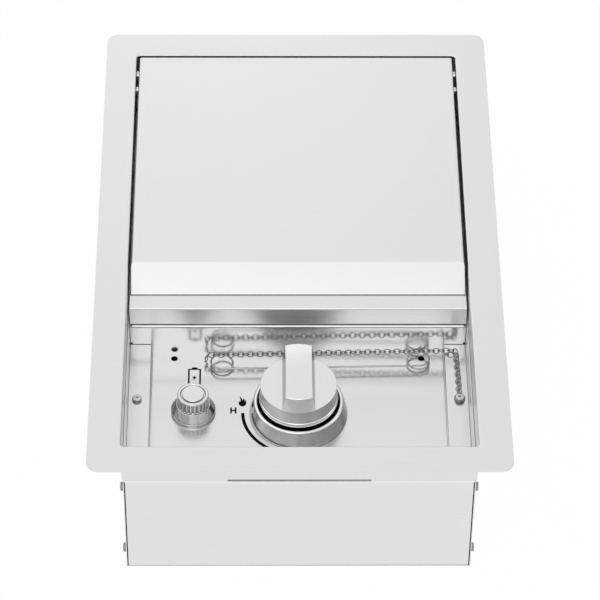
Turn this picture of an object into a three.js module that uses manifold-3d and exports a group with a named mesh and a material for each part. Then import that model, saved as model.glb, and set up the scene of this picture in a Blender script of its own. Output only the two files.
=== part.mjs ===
// Built-in gas side burner: a flush top frame with a sunken control recess, a hinged lid over the
// burner box, a push-and-turn gas valve, a battery igniter and a match holder on a chain.
// Millimetres, +Z up, +Y to the rear. The origin is the centre of the footprint, on the underside.
import * as THREE from 'three';
import { mergeVertices } from 'three/addons/utils/BufferGeometryUtils.js';
import Module from 'manifold-3d';

const wasm = await Module();
wasm.setup();

// Overall size and sheet
const frameWidth = 340;
const frameDepth = 525;
const frameHeight = 150;
const sheet = 0.8;
const seatGap = 0.3;
const cutOverrun = 3;
const bendRadius = 1.6;

// Top frame
const rimSide = 27;
const rimFront = 27;
const rimRear = 28;
const frameCornerRadius = 10;
const openingCornerRadius = 1.6;
const skirtDepth = 43.3;
const ventSlotWidth = 116;
const ventSlotHeight = 2;

// Body panels
const panelTuck = 12;
const returnDepth = 14;
const sideScrewInset = 8;
const sideScrewEdge = 15;
const panFlange = 12;
const floorVentLength = 46;
const floorVentWidth = 6;
const floorVentPitch = 22;
const floorVentRowShare = 0.2476;

// Lid
const lidSideGap = 2.6;
const lidRearGap = 3.5;
const lidTopShare = 0.49314;
const lidSlopeRun = 22.2;
const lidSlopeDrop = 16.6;
const lidSideDepth = 36;
const lidRearDepth = 11;
const lidFrontFlange = 13;
const lidEdgeRadius = 2.2;
const handleReach = 16.9;
const handleDrop = 19.6;
const handleOverhang = 1;
const handleRearLeg = 11;
const handleHem = 5;
const handleWallStep = 0.9;
const handleClearance = 1.2;

// Lid hinge
const pivotInset = 14.5;
const pivotDepth = 8;
const stopRadius = 20;
const lidOpenAngle = THREE.MathUtils.degToRad(100);
const hingePinRadius = 2;
const hingeRunning = 0.15;
const stopRunning = 0.22;
const hingePlateThickness = 1.5;
const hingePlateMargin = 7;
const rivetHeadRadius = 4;
const rivetHeadHeight = 1.4;
const rivetTopShare = 0.7;
const pivotShoulderRadius = 3.6;
const stopShoulderRadius = 2.9;
const pinTail = 3;
const clipThickness = 0.8;
const clipRadius = 4.2;

// Burner box and its rails
const boxFloorZ = 24;
const grateDepth = 46;
const boxCornerRadius = 7;
const boxLedge = 12;
const boxFrontFold = 5;
const venturiHoleRadius = 12.5;
const wireHoleRadius = 4;
const railInset = 45;
const railWidth = 26;
const railFoot = 11;

// Control recess
const controlDepthShare = 0.47333;
const ledgeRise = 12;
const ledgeWidth = 19.4;
const wallFold = 6;
const panelHoleRadius = 2.5;
const panelHoleSide = 18.6;
const panelHoleInset = 5.4;
const panelScrewSide = 8.2;
const panelScrewInset = 63.6;
const panelRailLeg = 14;
const panelRailDrop = 18;

// Screws
const screwShankRadius = 1.9;
const screwHoleRadius = 2.2;
const screwHeadRadius = 4;
const screwHeadHeight = 2.5;
const screwLength = 7;
const screwRimShare = 0.4;
const screwTopShare = 0.6;

// Knob and its bezel
const knobInset = 67.6;
const knobRadius = 31.7;
const knobRimRadius = 32.4;
const knobRimHeight = 2.8;
const knobLift = 18;
const knobHeight = 34.9;
const knobShoulder = 17;
const knobCrown = 1.2;
const knobBarTop = 20.2;
const knobBarBase = 28.2;
const knobEdge = 0.8;
const knobWall = 3;
const knobCavity = 13;
const knobHubRadius = 9;
const bezelBaseRadius = 41;
const bezelTopRadius = 37.5;
const bezelInnerRadius = 34.2;
const bezelHeight = 16;
const bezelFoot = 1;
const bezelEdge = 1.1;
const bezelEdgeShares = [1.5, 0.5, 0.4];
const bezelFloor = 2.6;
const bezelStemRadius = 9;

// Gas valve, injector and venturi
const stemRadius = 4;
const stemFlat = 2.6;
const stemClearance = 0.2;
const stemEngagement = 15;
const stemHoleRadius = 6;
const valveRadius = 12;
const valveLength = 34;
const valveBore = 7.5;
const valveFloor = 8;
const valveEarLength = 23;
const valveEarRadius = 7;
const valveEarThickness = 4;
const gasAxisDepth = 24;
const valveOutletRadius = 7;
const valveOutletReach = 20;
const valveInletRadius = 8;
const valveInletReach = 24;
const collarRadius = 6.8;
const collarHeight = 5;
const injectorRadius = 5.5;
const injectorLength = 14;
const injectorTipRadius = 3.2;
const injectorBore = 0.9;
const injectorTipShare = 0.3;
const venturiMouthGap = 13;
const venturiMouthRadius = 14;
const venturiThroatRadius = 8;
const venturiEndRadius = 10;
const venturiWall = 1.2;
const venturiMouthLength = 14;
const venturiThroatLength = 46;
const shutterLength = 16;
const shutterWindow = 9;
const shutterPinch = 0.75;
const shutterFrontShare = 0.75;

// Burner
const burnerNeckRadius = 15;
const burnerNeckWall = 3;
const burnerBowlRadius = 42;
const burnerBowlHeight = 18;
const burnerBowlWall = 3;
const burnerSeatRise = 13;
const burnerSocketReach = 34;
const burnerSocketWall = 2.2;
const bowlFootShare = 0.6;
const capHeight = 9;
const capCrown = 2.5;
const capPortDepth = 2.4;
const capPortWidth = 3;
const capPortCount = 14;
const capSpigotRadius = 31;
const capSpigotDepth = 3;
const bracketHalf = 62;
const bracketDepth = 52;
const bracketFoot = 14;
const bracketSheet = 1.2;

// Grate
const grateRod = 6;
const grateRodGap = 4;
const grateFrontGap = 1.5;
const grateCornerRadius = 14;
const grateBarCount = 9;
const grateWeld = 0.6;
const grateCrossShare = 0.47;

// Electrode and ignition lead
const electrodeX = -51;
const ceramicRadius = 3;
const ceramicShare = 0.7727;
const ceramicCollarRadius = 5;
const ceramicCollarHeight = 3;
const electrodeRadius = 0.9;
const electrodeRise = 8;
const ceramicRise = 4;
const electrodeTail = 5;
const leadRadius = 1.3;
const leadBend = 6;
const leadRise = 5;

// Igniter
const igniterShare = 0.71127;
const igniterInset = 65.6;
const barrelRadius = 11;
const barrelBore = 7.6;
const barrelFloor = 3;
const barrelLength = 62;
const barrelRise = 5;
const igniterBezelRadius = 18.6;
const igniterBezelFoot = 17.4;
const igniterBezelLow = 1.4;
const igniterBezelRim = 3.4;
const igniterBezelHeight = 10;
const igniterBezelTop = 1.2;
const igniterBezelFloor = 2.9;
const igniterCapRadius = 13;
const igniterCapTop = 22;
const igniterCapHeight = 15;
const igniterCapWall = 1.5;
const igniterCapRoof = 4;
const igniterPost = 5;
const igniterPush = 3;
const knurlCount = 22;
const knurlDepth = 0.5;
const capGrooveRadius = 9.8;
const capGrooveWidth = 1;
const capGrooveDepth = 0.7;
const ringNutRadius = 16.5;
const ringNutHeight = 7;
const batteryRadius = 7.1;
const batteryLength = 49.2;
const batteryNubRadius = 2.8;
const batteryNubHeight = 1.3;

// Gas supply
const pipeRadius = 5;
const pipeWall = 1;
const pipeBend = 16;
const pipeSide = 46.7;
const pipeZ = 12.5;
const railPipeRoom = 6;
const fittingRadius = 10.4;
const fittingBore = 6.5;
const fittingReach = 22;
const fittingHexRadius = 10.9;
const fittingHexLength = 12;
const fittingInside = 16;
const fittingChamfer = 1;
const locknutRadius = 13.8;
const locknutThickness = 5;
const locknutTurn = 30;

// Match holder and chain
const holderWire = 0.75;
const holderLengthShare = 0.7543;
const holderCoilRadius = 9.2;
const holderCoilPitch = 3.2;
const holderCoilTurns = 1.7;
const holderCentreShare = 0.1541;
const holderRodInset = 21.4;
const holderTurn = 1.2;
const linkWire = 0.55;
const linkRadius = 1.8;
const linkStraight = 1.1;
const linkBite = 0.2;
const linkRest = 2.1;
const chainGap = 0.4;
const ringRadius = 4.2;
const ringShift = 1.2;
const chainLedgeSide = 1;
const chainWallInset = 10;
const chainCorner = 3.5;

// Facets
const bendSteps = 2;
const fineSides = 28;
const roundSides = 20;
const mediumSides = 12;
const smallSides = 10;
const slotSteps = 4;
const screwSides = 6;
const cornerSteps = 2;
const coilSteps = 20;
const grateSides = 6;
const wireSides = 6;
const linkSides = 3;
const linkSteps = 8;

// Places worked out from the sizes above
const halfWidth = frameWidth / 2;
const frontY = -frameDepth / 2;
const rearY = frameDepth / 2;
const openHalfX = halfWidth - rimSide;
const openFrontY = frontY + rimFront;
const openRearY = rearY - rimRear;
const skirtZ = frameHeight - skirtDepth;

const bodyHalfX = openHalfX - seatGap;
const bodyFrontY = openFrontY + seatGap;
const bodyRearY = openRearY - seatGap;
const bodyTopZ = skirtZ + panelTuck;
const bodyBaseZ = sheet + seatGap;
const bodyInnerX = bodyHalfX - sheet;
const returnOuterX = bodyInnerX - seatGap;
const returnInnerX = returnOuterX - sheet;

const lidHalfX = openHalfX - lidSideGap;
const lidRearY = openRearY - lidRearGap;
const lidTopLength = frameDepth * lidTopShare;
const lidSlopeY = lidRearY - lidTopLength;
const lidFrontY = lidSlopeY - lidSlopeRun;
const handleZ = frameHeight - lidSlopeDrop;
const handleFrontY = lidFrontY - handleReach;
const pivotY = lidRearY - pivotInset;
const pivotZ = frameHeight - pivotDepth;

const boxHalfX = returnInnerX - seatGap;
const wallY = handleFrontY - handleWallStep;
const wallTop = handleZ - handleDrop - handleClearance;
const boxFrontY = wallY + sheet + seatGap;
const boxRearY = bodyRearY - sheet - seatGap;
const boxCentreY = (boxFrontY + boxRearY) / 2;
const boxWallTop = frameHeight - grateDepth;
const boxFrontTop = wallTop - sheet - seatGap;
const burnerY = boxCentreY;

const controlHalfWidth = bodyHalfX - ledgeWidth;
const floorZ = frameHeight * (1 - controlDepthShare);
const ledgeZ = floorZ + ledgeRise;
const knobY = wallY - knobInset;
const knobZ = floorZ + knobLift;
const igniterY = wallY - igniterInset;
const panelScrewY = wallY - panelScrewInset;
const gasZ = floorZ - gasAxisDepth;
const panelUnderZ = floorZ - sheet - seatGap;
const panelHoleX = controlHalfWidth - panelHoleSide;
const panelScrewX = bodyHalfX - panelScrewSide;
const igniterX = -controlHalfWidth * igniterShare;
const pipeX = bodyHalfX - pipeSide;
const burnerSeatZ = gasZ + burnerSeatRise;
const ceramicLength = (burnerSeatZ - boxFloorZ) * ceramicShare;
const leadZ = boxFloorZ + sheet + leadRise;
const venturiStartY = knobY + valveRadius + valveOutletReach + venturiMouthGap;
const holderLength = controlHalfWidth * 2 * holderLengthShare;
const holderCentreX = controlHalfWidth * holderCentreShare;
const chainLedgeX = panelScrewX - chainLedgeSide;

// Basic helpers
const v2 = (x, y) => new THREE.Vector2(x, y);
const v3 = (x, y, z) => new THREE.Vector3(x, y, z);
const axisX = v3(1, 0, 0);
const axisY = v3(0, 1, 0);
const axisZ = v3(0, 0, 1);
const bothSides = [['left', -1], ['right', 1]];

// A closed geometry with merged corners and no empty faces, as a solid that can be cut and joined
function solid(geometry) {
  const bare = new THREE.BufferGeometry();
  bare.setAttribute('position', geometry.getAttribute('position'));
  bare.setIndex(geometry.getIndex());
  const merged = mergeVertices(bare);
  const corners = merged.getIndex().array;
  const kept = [];
  for (let i = 0; i < corners.length; i += 3) {
    const [a, b, c] = corners.slice(i, i + 3);
    if (a !== b && b !== c && c !== a) kept.push(a, b, c);
  }
  const vertProperties = new Float32Array(merged.getAttribute('position').array);
  const triVerts = new Uint32Array(kept);
  return new wasm.Manifold(new wasm.Mesh({ numProp: 3, vertProperties, triVerts }));
}

// The solid's surface as a geometry for a mesh
function surface(body) {
  const mesh = body.getMesh();
  const geometry = new THREE.BufferGeometry();
  geometry.setAttribute('position', new THREE.BufferAttribute(mesh.vertProperties, mesh.numProp));
  geometry.setIndex(new THREE.BufferAttribute(mesh.triVerts, 1));
  geometry.computeVertexNormals();
  return geometry;
}

const join = (...bodies) => bodies.reduce((whole, body) => whole.add(body));
const cut = (body, ...tools) => tools.reduce((left, tool) => left.subtract(tool), body);

// Extrudes an outline along an axis: outlines are drawn in Y-Z for x, in X-Z for y and in X-Y for z
function extrude(outline, axis, low, high, curveSegments = cornerSteps) {
  const options = { depth: high - low, bevelEnabled: false, curveSegments };
  const geometry = new THREE.ExtrudeGeometry(outline, options);
  if (axis === 'x') geometry.applyMatrix4(new THREE.Matrix4().makeBasis(axisY, axisZ, axisX));
  if (axis === 'y') geometry.applyMatrix4(new THREE.Matrix4().makeBasis(axisX, axisZ, v3(0, -1, 0)));
  const start = { x: v3(low, 0, 0), y: v3(0, high, 0), z: v3(0, 0, low) }[axis];
  geometry.translate(start.x, start.y, start.z);
  return solid(geometry);
}

function box(lowX, highX, lowY, highY, lowZ, highZ) {
  const geometry = new THREE.BoxGeometry(highX - lowX, highY - lowY, highZ - lowZ);
  geometry.translate((lowX + highX) / 2, (lowY + highY) / 2, (lowZ + highZ) / 2);
  return solid(geometry);
}

// A body of revolution about Z from its profile of [radius, height] pairs
function turned(profile, sides = mediumSides) {
  const points = profile.map(([radius, height]) => v2(radius, height));
  if (THREE.ShapeUtils.isClockWise(points)) points.reverse();
  if (points[0].x > 0 || points.at(-1).x > 0) points.push(points[0].clone());
  return solid(new THREE.LatheGeometry(points, sides).rotateX(Math.PI / 2));
}

// A round bar about Z, X or Y through a point of the other two coordinates
function bar(radius, low, high, sides = smallSides) {
  return turned([[0, low], [radius, low], [radius, high], [0, high]], sides);
}
const alongX = (body) => body.rotate([0, 90, 0]);
const alongY = (body) => body.rotate([-90, 0, 0]);

function rectangle(lowX, lowY, highX, highY) {
  return new THREE.Shape([v2(lowX, lowY), v2(highX, lowY), v2(highX, highY), v2(lowX, highY)]);
}

function roundedRectangle(halfX, lowY, highY, radius) {
  const shape = new THREE.Shape();
  shape.absarc(halfX - radius, highY - radius, radius, 0, Math.PI / 2);
  shape.absarc(radius - halfX, highY - radius, radius, Math.PI / 2, Math.PI);
  shape.absarc(radius - halfX, lowY + radius, radius, Math.PI, Math.PI * 1.5);
  shape.absarc(halfX - radius, lowY + radius, radius, Math.PI * 1.5, Math.PI * 2);
  shape.closePath();
  return shape;
}

// The corners of an open line, rounded to the bend radius of its centreline
function rounded(points, radius) {
  const line = [points[0]];
  for (let i = 1; i < points.length - 1; i += 1) {
    const inward = points[i].clone().sub(points[i - 1]).normalize();
    const outward = points[i + 1].clone().sub(points[i]).normalize();
    const turn = Math.atan2(inward.cross(outward), inward.dot(outward));
    const setback = radius * Math.tan(Math.abs(turn) / 2);
    const start = points[i].clone().addScaledVector(inward, -setback);
    const toCentre = v2(-inward.y, inward.x).multiplyScalar(radius * Math.sign(turn));
    const centre = start.clone().add(toCentre);
    for (let step = 0; step <= bendSteps; step += 1) {
      line.push(start.clone().rotateAround(centre, (turn * step) / bendSteps));
    }
  }
  line.push(points.at(-1));
  return line;
}

// The cross-section of a sheet folded along a line of [across, up] pairs on its middle surface
function folded(pairs, thickness = sheet, radius = bendRadius) {
  const line = rounded(pairs.map(([x, y]) => v2(x, y)), radius);
  const edge = (side) => line.map((point, i) => {
    const before = point.clone().sub(line[i - 1] ?? point);
    const after = (line[i + 1] ?? point).clone().sub(point);
    const along = before.normalize().add(after.normalize()).normalize();
    const reference = before.lengthSq() > 0 ? before : after;
    const reach = (side * thickness) / 2 / along.dot(reference);
    return v2(point.x - along.y * reach, point.y + along.x * reach);
  });
  return new THREE.Shape([...edge(1), ...edge(-1).reverse()]);
}

// A round slot that follows an arc about the outline's origin
function arcSlot(radius, halfWidth, start, end) {
  const shape = new THREE.Shape();
  const tip = (angle) => v2(radius, 0).rotateAround(v2(0, 0), angle);
  shape.absarc(0, 0, radius + halfWidth, start, end, true);
  shape.absarc(tip(end).x, tip(end).y, halfWidth, end, end - Math.PI, true);
  shape.absarc(0, 0, radius - halfWidth, end, start, false);
  shape.absarc(tip(start).x, tip(start).y, halfWidth, start + Math.PI, start, true);
  return shape;
}

// A path of straight runs and round bends, with its steps only where it bends
class BentPath extends THREE.Curve {
  constructor(points, radius) {
    super();
    this.samples = [];
    this.mark(points[0], points[1].clone().sub(points[0]));
    for (let i = 1; i < points.length - 1; i += 1) this.bend(...points.slice(i - 1, i + 2), radius);
    this.mark(points.at(-1), points.at(-1).clone().sub(points.at(-2)));
    this.steps = this.samples.length - 1;
  }

  mark(point, direction) {
    this.samples.push({ point, tangent: direction.clone().normalize() });
  }

  bend(before, corner, after, radius) {
    const back = before.clone().sub(corner).setLength(radius).add(corner);
    const ahead = after.clone().sub(corner).setLength(radius).add(corner);
    const curve = new THREE.QuadraticBezierCurve3(back, corner, ahead);
    for (let step = 0; step <= bendSteps; step += 1) {
      const share = step / bendSteps;
      this.mark(curve.getPoint(share), curve.getTangent(share));
    }
  }

  getPointAt(share, target = new THREE.Vector3()) {
    return target.copy(this.samples[Math.round(share * this.steps)].point);
  }

  getTangentAt(share, target = new THREE.Vector3()) {
    return target.copy(this.samples[Math.round(share * this.steps)].tangent);
  }

  // The same line as one smooth path, to be divided evenly
  even() {
    const path = new THREE.CurvePath();
    this.samples.slice(1).forEach(({ point }, i) => (
      path.add(new THREE.LineCurve3(this.samples[i].point, point))
    ));
    return path;
  }
}

function circle(radius, sides) {
  const corners = Array.from({ length: sides }, (_, i) => (
    v2(radius, 0).rotateAround(v2(0, 0), (i * 2 * Math.PI) / sides)
  ));
  return new THREE.Shape(corners);
}

// A round wire or pipe along a path; a bore makes it a pipe
function wire(path, radius, sides, steps = path.steps, bore = 0) {
  const section = circle(radius, sides);
  if (bore > 0) section.holes.push(circle(bore, sides));
  return solid(new THREE.ExtrudeGeometry(section, { steps, extrudePath: path, bevelEnabled: false }));
}

const looks = {
  sheet: { color: 0xd8dadb, roughness: 0.34, metalness: 1 },
  polished: { color: 0xe6e7e8, roughness: 0.14, metalness: 1 },
  galvanised: { color: 0xb4b8ba, roughness: 0.5, metalness: 1 },
  brass: { color: 0xc4a25a, roughness: 0.35, metalness: 1 },
  castIron: { color: 0x2b2b2c, roughness: 0.7, metalness: 0.3 },
  blackPlastic: { color: 0x17181a, roughness: 0.55, metalness: 0 },
  ceramic: { color: 0xf1efe8, roughness: 0.4, metalness: 0 },
  redRubber: { color: 0xa33226, roughness: 0.6, metalness: 0 },
  cell: { color: 0x39536b, roughness: 0.4, metalness: 0.2 },
};

const burner = new THREE.Group();

function add(name, body, look, parent = burner, place = [0, 0, 0]) {
  const mesh = new THREE.Mesh(surface(body), new THREE.MeshStandardMaterial(looks[look]));
  mesh.name = name;
  mesh.position.set(...place);
  parent.add(mesh);
}

function groupAt(x, y, z) {
  const group = new THREE.Group();
  group.position.set(x, y, z);
  burner.add(group);
  return group;
}

// The flat rim, the bend into the opening and the skirt below it, as one pressing
function topFrame() {
  const bend = bendRadius + sheet / 2;
  const flat = roundedRectangle(halfWidth, frontY, rearY, frameCornerRadius);
  const inner = roundedRectangle(openHalfX, openFrontY, openRearY, openingCornerRadius);
  const outer = roundedRectangle(
    openHalfX + sheet, openFrontY - sheet, openRearY + sheet, openingCornerRadius + sheet,
  );
  const rim = extrude(flat, 'z', frameHeight - sheet, frameHeight, bendSteps);
  const fillet = extrude(outer, 'z', frameHeight - bend, frameHeight);
  const skirt = extrude(outer, 'z', skirtZ, frameHeight);
  const opening = extrude(inner, 'z', skirtZ - cutOverrun, frameHeight + cutOverrun);
  const slot = box(
    -ventSlotWidth / 2, ventSlotWidth / 2, frontY, openFrontY + cutOverrun, skirtZ - cutOverrun,
    skirtZ + ventSlotHeight,
  );
  const rivets = [pivotY, pivotY - stopRadius].map((y) => (
    alongX(bar(hingePinRadius + hingeRunning, -halfWidth, halfWidth)).translate([0, y, pivotZ])
  ));
  add('top_frame', cut(join(rim, fillet, skirt), opening, slot, ...rivets), 'sheet');
}

// Four screw holes through the sides of the body, near its front and rear edges
function sideScrewPlaces() {
  const places = [];
  for (const [end, y] of [['front', bodyFrontY + sideScrewInset], ['rear', bodyRearY - sideScrewInset]]) {
    places.push([`${end}_upper`, y, skirtZ - sideScrewEdge], [`${end}_lower`, y, sideScrewEdge]);
  }
  return places;
}

const sideHoles = () => sideScrewPlaces().map(([, y, z]) => (
  alongX(bar(screwHoleRadius, -halfWidth, halfWidth, screwSides)).translate([0, y, z])
));

function sidePanels() {
  for (const [side, sign] of bothSides) {
    const [low, high] = [sign * bodyInnerX, sign * bodyHalfX].sort((a, b) => a - b);
    const relief = openingCornerRadius * 2;
    const outline = new THREE.Shape([
      v2(bodyFrontY, bodyBaseZ), v2(bodyRearY, bodyBaseZ), v2(bodyRearY, skirtZ - seatGap),
      v2(bodyRearY - relief, skirtZ - seatGap), v2(bodyRearY - relief, bodyTopZ),
      v2(bodyFrontY + relief, bodyTopZ), v2(bodyFrontY + relief, skirtZ - seatGap),
      v2(bodyFrontY, skirtZ - seatGap),
    ]);
    add(`side_panel_${side}`, cut(extrude(outline, 'x', low, high), ...sideHoles()), 'sheet');
  }
}

// The front and rear panels are folded back at both ends, inside the side panels
function endPanel(faceY, inward) {
  const middle = faceY + (inward * sheet) / 2;
  const x = returnOuterX - sheet / 2;
  const tip = faceY + inward * returnDepth;
  const section = folded([[-x, tip], [-x, middle], [x, middle], [x, tip]]);
  return cut(extrude(section, 'z', bodyBaseZ, bodyTopZ), ...sideHoles());
}

function endPanels() {
  const slot = box(
    -ventSlotWidth / 2, ventSlotWidth / 2, frontY, bodyFrontY + cutOverrun, skirtZ,
    bodyTopZ + cutOverrun,
  );
  const inlet = alongY(bar(fittingRadius + seatGap, openRearY - cutOverrun * 2, rearY, mediumSides));
  add('front_panel', cut(endPanel(bodyFrontY, 1), slot), 'sheet');
  add('rear_panel', cut(endPanel(bodyRearY, -1), inlet.translate([pipeX, 0, pipeZ])), 'sheet');
}

// The floor closes the body from below, with its edges turned up inside the panels
function bottomPan() {
  const plate = box(-bodyHalfX, bodyHalfX, bodyFrontY, bodyRearY, 0, sheet);
  const top = sheet + panFlange;
  const sides = returnOuterX - sheet / 2;
  const sideSection = folded([[-sides, top], [-sides, sheet / 2], [sides, sheet / 2], [sides, top]]);
  const clear = returnDepth + seatGap;
  const trough = extrude(sideSection, 'y', bodyFrontY + clear, bodyRearY - clear);
  const lipHalf = returnInnerX - seatGap - bendRadius;
  const lip = (y) => box(-lipHalf, lipHalf, y - sheet / 2, y + sheet / 2, 0, top);
  const inset = sheet + seatGap + sheet / 2;
  const vents = [];
  for (const share of [-floorVentRowShare, floorVentRowShare]) {
    const y = frameDepth * share;
    for (const place of [-1, 0, 1]) {
      const x = place * floorVentPitch;
      const low = y - floorVentLength / 2;
      const slot = roundedRectangle(floorVentWidth / 2, low, low + floorVentLength, floorVentWidth / 2);
      vents.push(extrude(slot, 'z', -cutOverrun, cutOverrun, 1).translate([x, 0, 0]));
    }
  }
  const flange = [lip(bodyFrontY + inset), cut(lip(bodyRearY - inset), pipeRoom())];
  add('bottom_pan', cut(join(plate, trough, ...flange), ...vents), 'galvanised');
}

// Room for the gas pipe and its fitting through what it passes
function pipeRoom() {
  const half = railPipeRoom * 2;
  return box(pipeX - half, pipeX + half, boxFrontY, rearY, sheet + seatGap, boxFloorZ - sheet * 2);
}

// Folded cross rails carry the burner box on the floor
function boxRails() {
  const low = sheet + seatGap + sheet / 2;
  const high = boxFloorZ - seatGap - sheet / 2;
  const web = railWidth / 2;
  const section = [
    [-web - railFoot, low], [-web, low], [-web, high], [web, high], [web, low], [web + railFoot, low],
  ];
  const half = returnInnerX - seatGap - bendRadius;
  const rail = extrude(folded(section), 'x', -half, half);
  const room = box(
    pipeX - railPipeRoom, pipeX + railPipeRoom, -railWidth, railWidth, 0, pipeZ + railPipeRoom,
  );
  const notched = cut(rail, room);
  add('box_rail_front', notched, 'galvanised', burner, [0, boxFrontY + railInset, 0]);
  add('box_rail_rear', notched, 'galvanised', burner, [0, boxRearY - railInset, 0]);
}

// A deep pan with a ledge for the grate and a higher front wall, folded back at its top
function burnerBox() {
  const shell = (inset) => roundedRectangle(
    boxHalfX - inset, boxFrontY + inset, boxRearY - inset, boxCornerRadius - inset / 2,
  );
  const ledgeShape = shell(0);
  const well = roundedRectangle(
    boxHalfX - sheet - boxLedge, boxFrontY + sheet + boxLedge, boxRearY - sheet - boxLedge,
    boxCornerRadius * 2,
  );
  ledgeShape.holes.push(well);
  const pan = cut(
    extrude(shell(0), 'z', boxFloorZ, boxWallTop, bendSteps),
    extrude(shell(sheet), 'z', boxFloorZ + sheet, boxWallTop + cutOverrun, bendSteps),
  );
  const ledge = extrude(ledgeShape, 'z', boxWallTop - sheet, boxWallTop, bendSteps);
  const middle = boxFrontY + sheet / 2;
  const fold = boxFrontTop - sheet / 2;
  const wall = folded([
    [middle, boxFloorZ + boxCornerRadius], [middle, fold], [boxFrontY + sheet + boxFrontFold, fold],
  ]);
  const wallHalf = bodyInnerX - seatGap;
  const front = extrude(wall, 'x', -wallHalf, wallHalf);
  const venturi = alongY(bar(venturiHoleRadius, boxFrontY - cutOverrun, boxFrontY + cutOverrun));
  const lead = alongY(bar(wireHoleRadius, boxFrontY - cutOverrun, boxFrontY + cutOverrun));
  const holes = [venturi.translate([0, 0, gasZ]), lead.translate([electrodeX, 0, leadZ])];
  add('burner_box', cut(join(pan, ledge, front), ...holes), 'sheet');
}

// The recess's rear wall is folded up from the control panel's floor, and its top hooks over the box
function recessWall() {
  const half = bodyInnerX - seatGap;
  const middle = wallY + sheet / 2;
  const top = wallTop - sheet / 2;
  const low = floorZ - sheet / 2;
  const section = folded([
    [wallY - bendRadius * 2, low], [middle, low], [middle, top], [middle + wallFold, top],
  ]);
  const inner = controlHalfWidth - seatGap;
  const beside = [-1, 1].map((sign) => {
    const [x0, x1] = [sign * inner, sign * halfWidth].sort((a, b) => a - b);
    return box(x0, x1, frontY, rearY, low - cutOverrun, ledgeZ + seatGap);
  });
  return cut(extrude(section, 'x', -half, half), ...beside);
}

// The hat-shaped control panel: a sunken floor between two raised ledges
function controlPanel() {
  const low = floorZ - sheet / 2;
  const high = ledgeZ - sheet / 2;
  const riser = controlHalfWidth + sheet / 2;
  const edge = bodyInnerX - seatGap;
  const section = folded([
    [-edge, high], [-riser, high], [-riser, low], [riser, low], [riser, high], [edge, high],
  ]);
  const rear = wallY - seatGap;
  const front = bodyFrontY + sheet + seatGap;
  const drill = (radius, sides = screwSides) => bar(radius, floorZ - cutOverrun, ledgeZ + cutOverrun, sides);
  const notchY = bodyFrontY + returnDepth + seatGap;
  const holes = [
    drill(stemHoleRadius).translate([0, knobY, 0]),
    drill(barrelRadius + seatGap, roundSides).translate([igniterX, igniterY, 0]),
  ];
  for (const [, sign] of bothSides) {
    const [x0, x1] = [sign * (boxHalfX - bendRadius), sign * halfWidth].sort((a, b) => a - b);
    holes.push(drill(panelHoleRadius).translate([sign * panelHoleX, wallY - panelHoleInset, 0]));
    holes.push(drill(screwHoleRadius).translate([sign * panelScrewX, panelScrewY, 0]));
    holes.push(box(x0, x1, frontY, notchY, floorZ, ledgeZ + cutOverrun));
  }
  add('control_panel', join(cut(extrude(section, 'y', front, rear), ...holes), recessWall()), 'sheet');
}

// Angles on the side panels carry the control panel's ledges
function panelRails() {
  const high = ledgeZ - sheet - seatGap - sheet / 2;
  const outer = returnOuterX - sheet / 2;
  for (const [side, sign] of bothSides) {
    const section = folded([
      [sign * (outer - panelRailLeg), high], [sign * outer, high], [sign * outer, high - panelRailDrop],
    ]);
    const front = bodyFrontY + returnDepth + seatGap;
    const rail = extrude(section, 'y', front, boxFrontY - seatGap);
    const hole = bar(screwHoleRadius, high - cutOverrun, high + cutOverrun, screwSides);
    add(`panel_rail_${side}`, cut(rail, hole.translate([sign * panelScrewX, panelScrewY, 0])), 'galvanised');
  }
}

// A pan-head screw standing on Z, its head's underside at zero
function screw(length) {
  const profile = [
    [0, -length], [screwShankRadius, -length], [screwShankRadius, 0], [screwHeadRadius, 0],
    [screwHeadRadius, screwHeadHeight * screwRimShare], [screwHeadRadius * screwTopShare, screwHeadHeight],
    [0, screwHeadHeight],
  ];
  return turned(profile, screwSides);
}

function screws() {
  for (const [side, sign] of bothSides) {
    for (const [place, y, z] of sideScrewPlaces()) {
      const head = screw(bodyHalfX - boxHalfX).rotate([0, sign * 90, 0]);
      const x = sign * (bodyHalfX + seatGap);
      add(`side_screw_${side}_${place}`, head, 'polished', burner, [x, y, z]);
    }
  }
  const seat = ledgeZ + seatGap;
  const overRing = seat + linkWire * 2 + seatGap;
  add('panel_screw_left', screw(screwLength), 'polished', burner, [-panelScrewX, panelScrewY, seat]);
  add('panel_screw_right', screw(screwLength), 'polished', burner, [panelScrewX, panelScrewY, overRing]);
}

// The lid is drawn about its hinge axis: Y and Z are measured from the pivot
const lidY = (y) => y - pivotY;
const lidZ = (z) => z - pivotZ;

// The lid's side view, moved in by a distance, and its cross-section with rounded top edges
function lidEnvelope(inset) {
  const slope = Math.atan2(lidSlopeDrop, lidSlopeRun);
  const shift = inset * Math.tan(slope / 2);
  const foot = inset * Math.tan(Math.PI / 4 - slope / 2);
  const low = frameHeight - lidSideDepth - inset * cutOverrun;
  const side = new THREE.Shape([
    v2(lidY(lidRearY - inset), lidZ(frameHeight - inset)),
    v2(lidY(lidSlopeY + shift), lidZ(frameHeight - inset)),
    v2(lidY(lidFrontY + inset), lidZ(handleZ - foot)),
    v2(lidY(lidFrontY + inset), lidZ(low)),
    v2(lidY(lidRearY - inset), lidZ(low)),
  ]);
  const half = lidHalfX - inset;
  const across = roundedRectangle(
    half, lidZ(low) - lidEdgeRadius, lidZ(frameHeight - inset), lidEdgeRadius - inset,
  );
  const length = extrude(across, 'y', lidY(lidFrontY), lidY(lidRearY), bendSteps);
  return extrude(side, 'x', -half, half).intersect(length);
}

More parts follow.
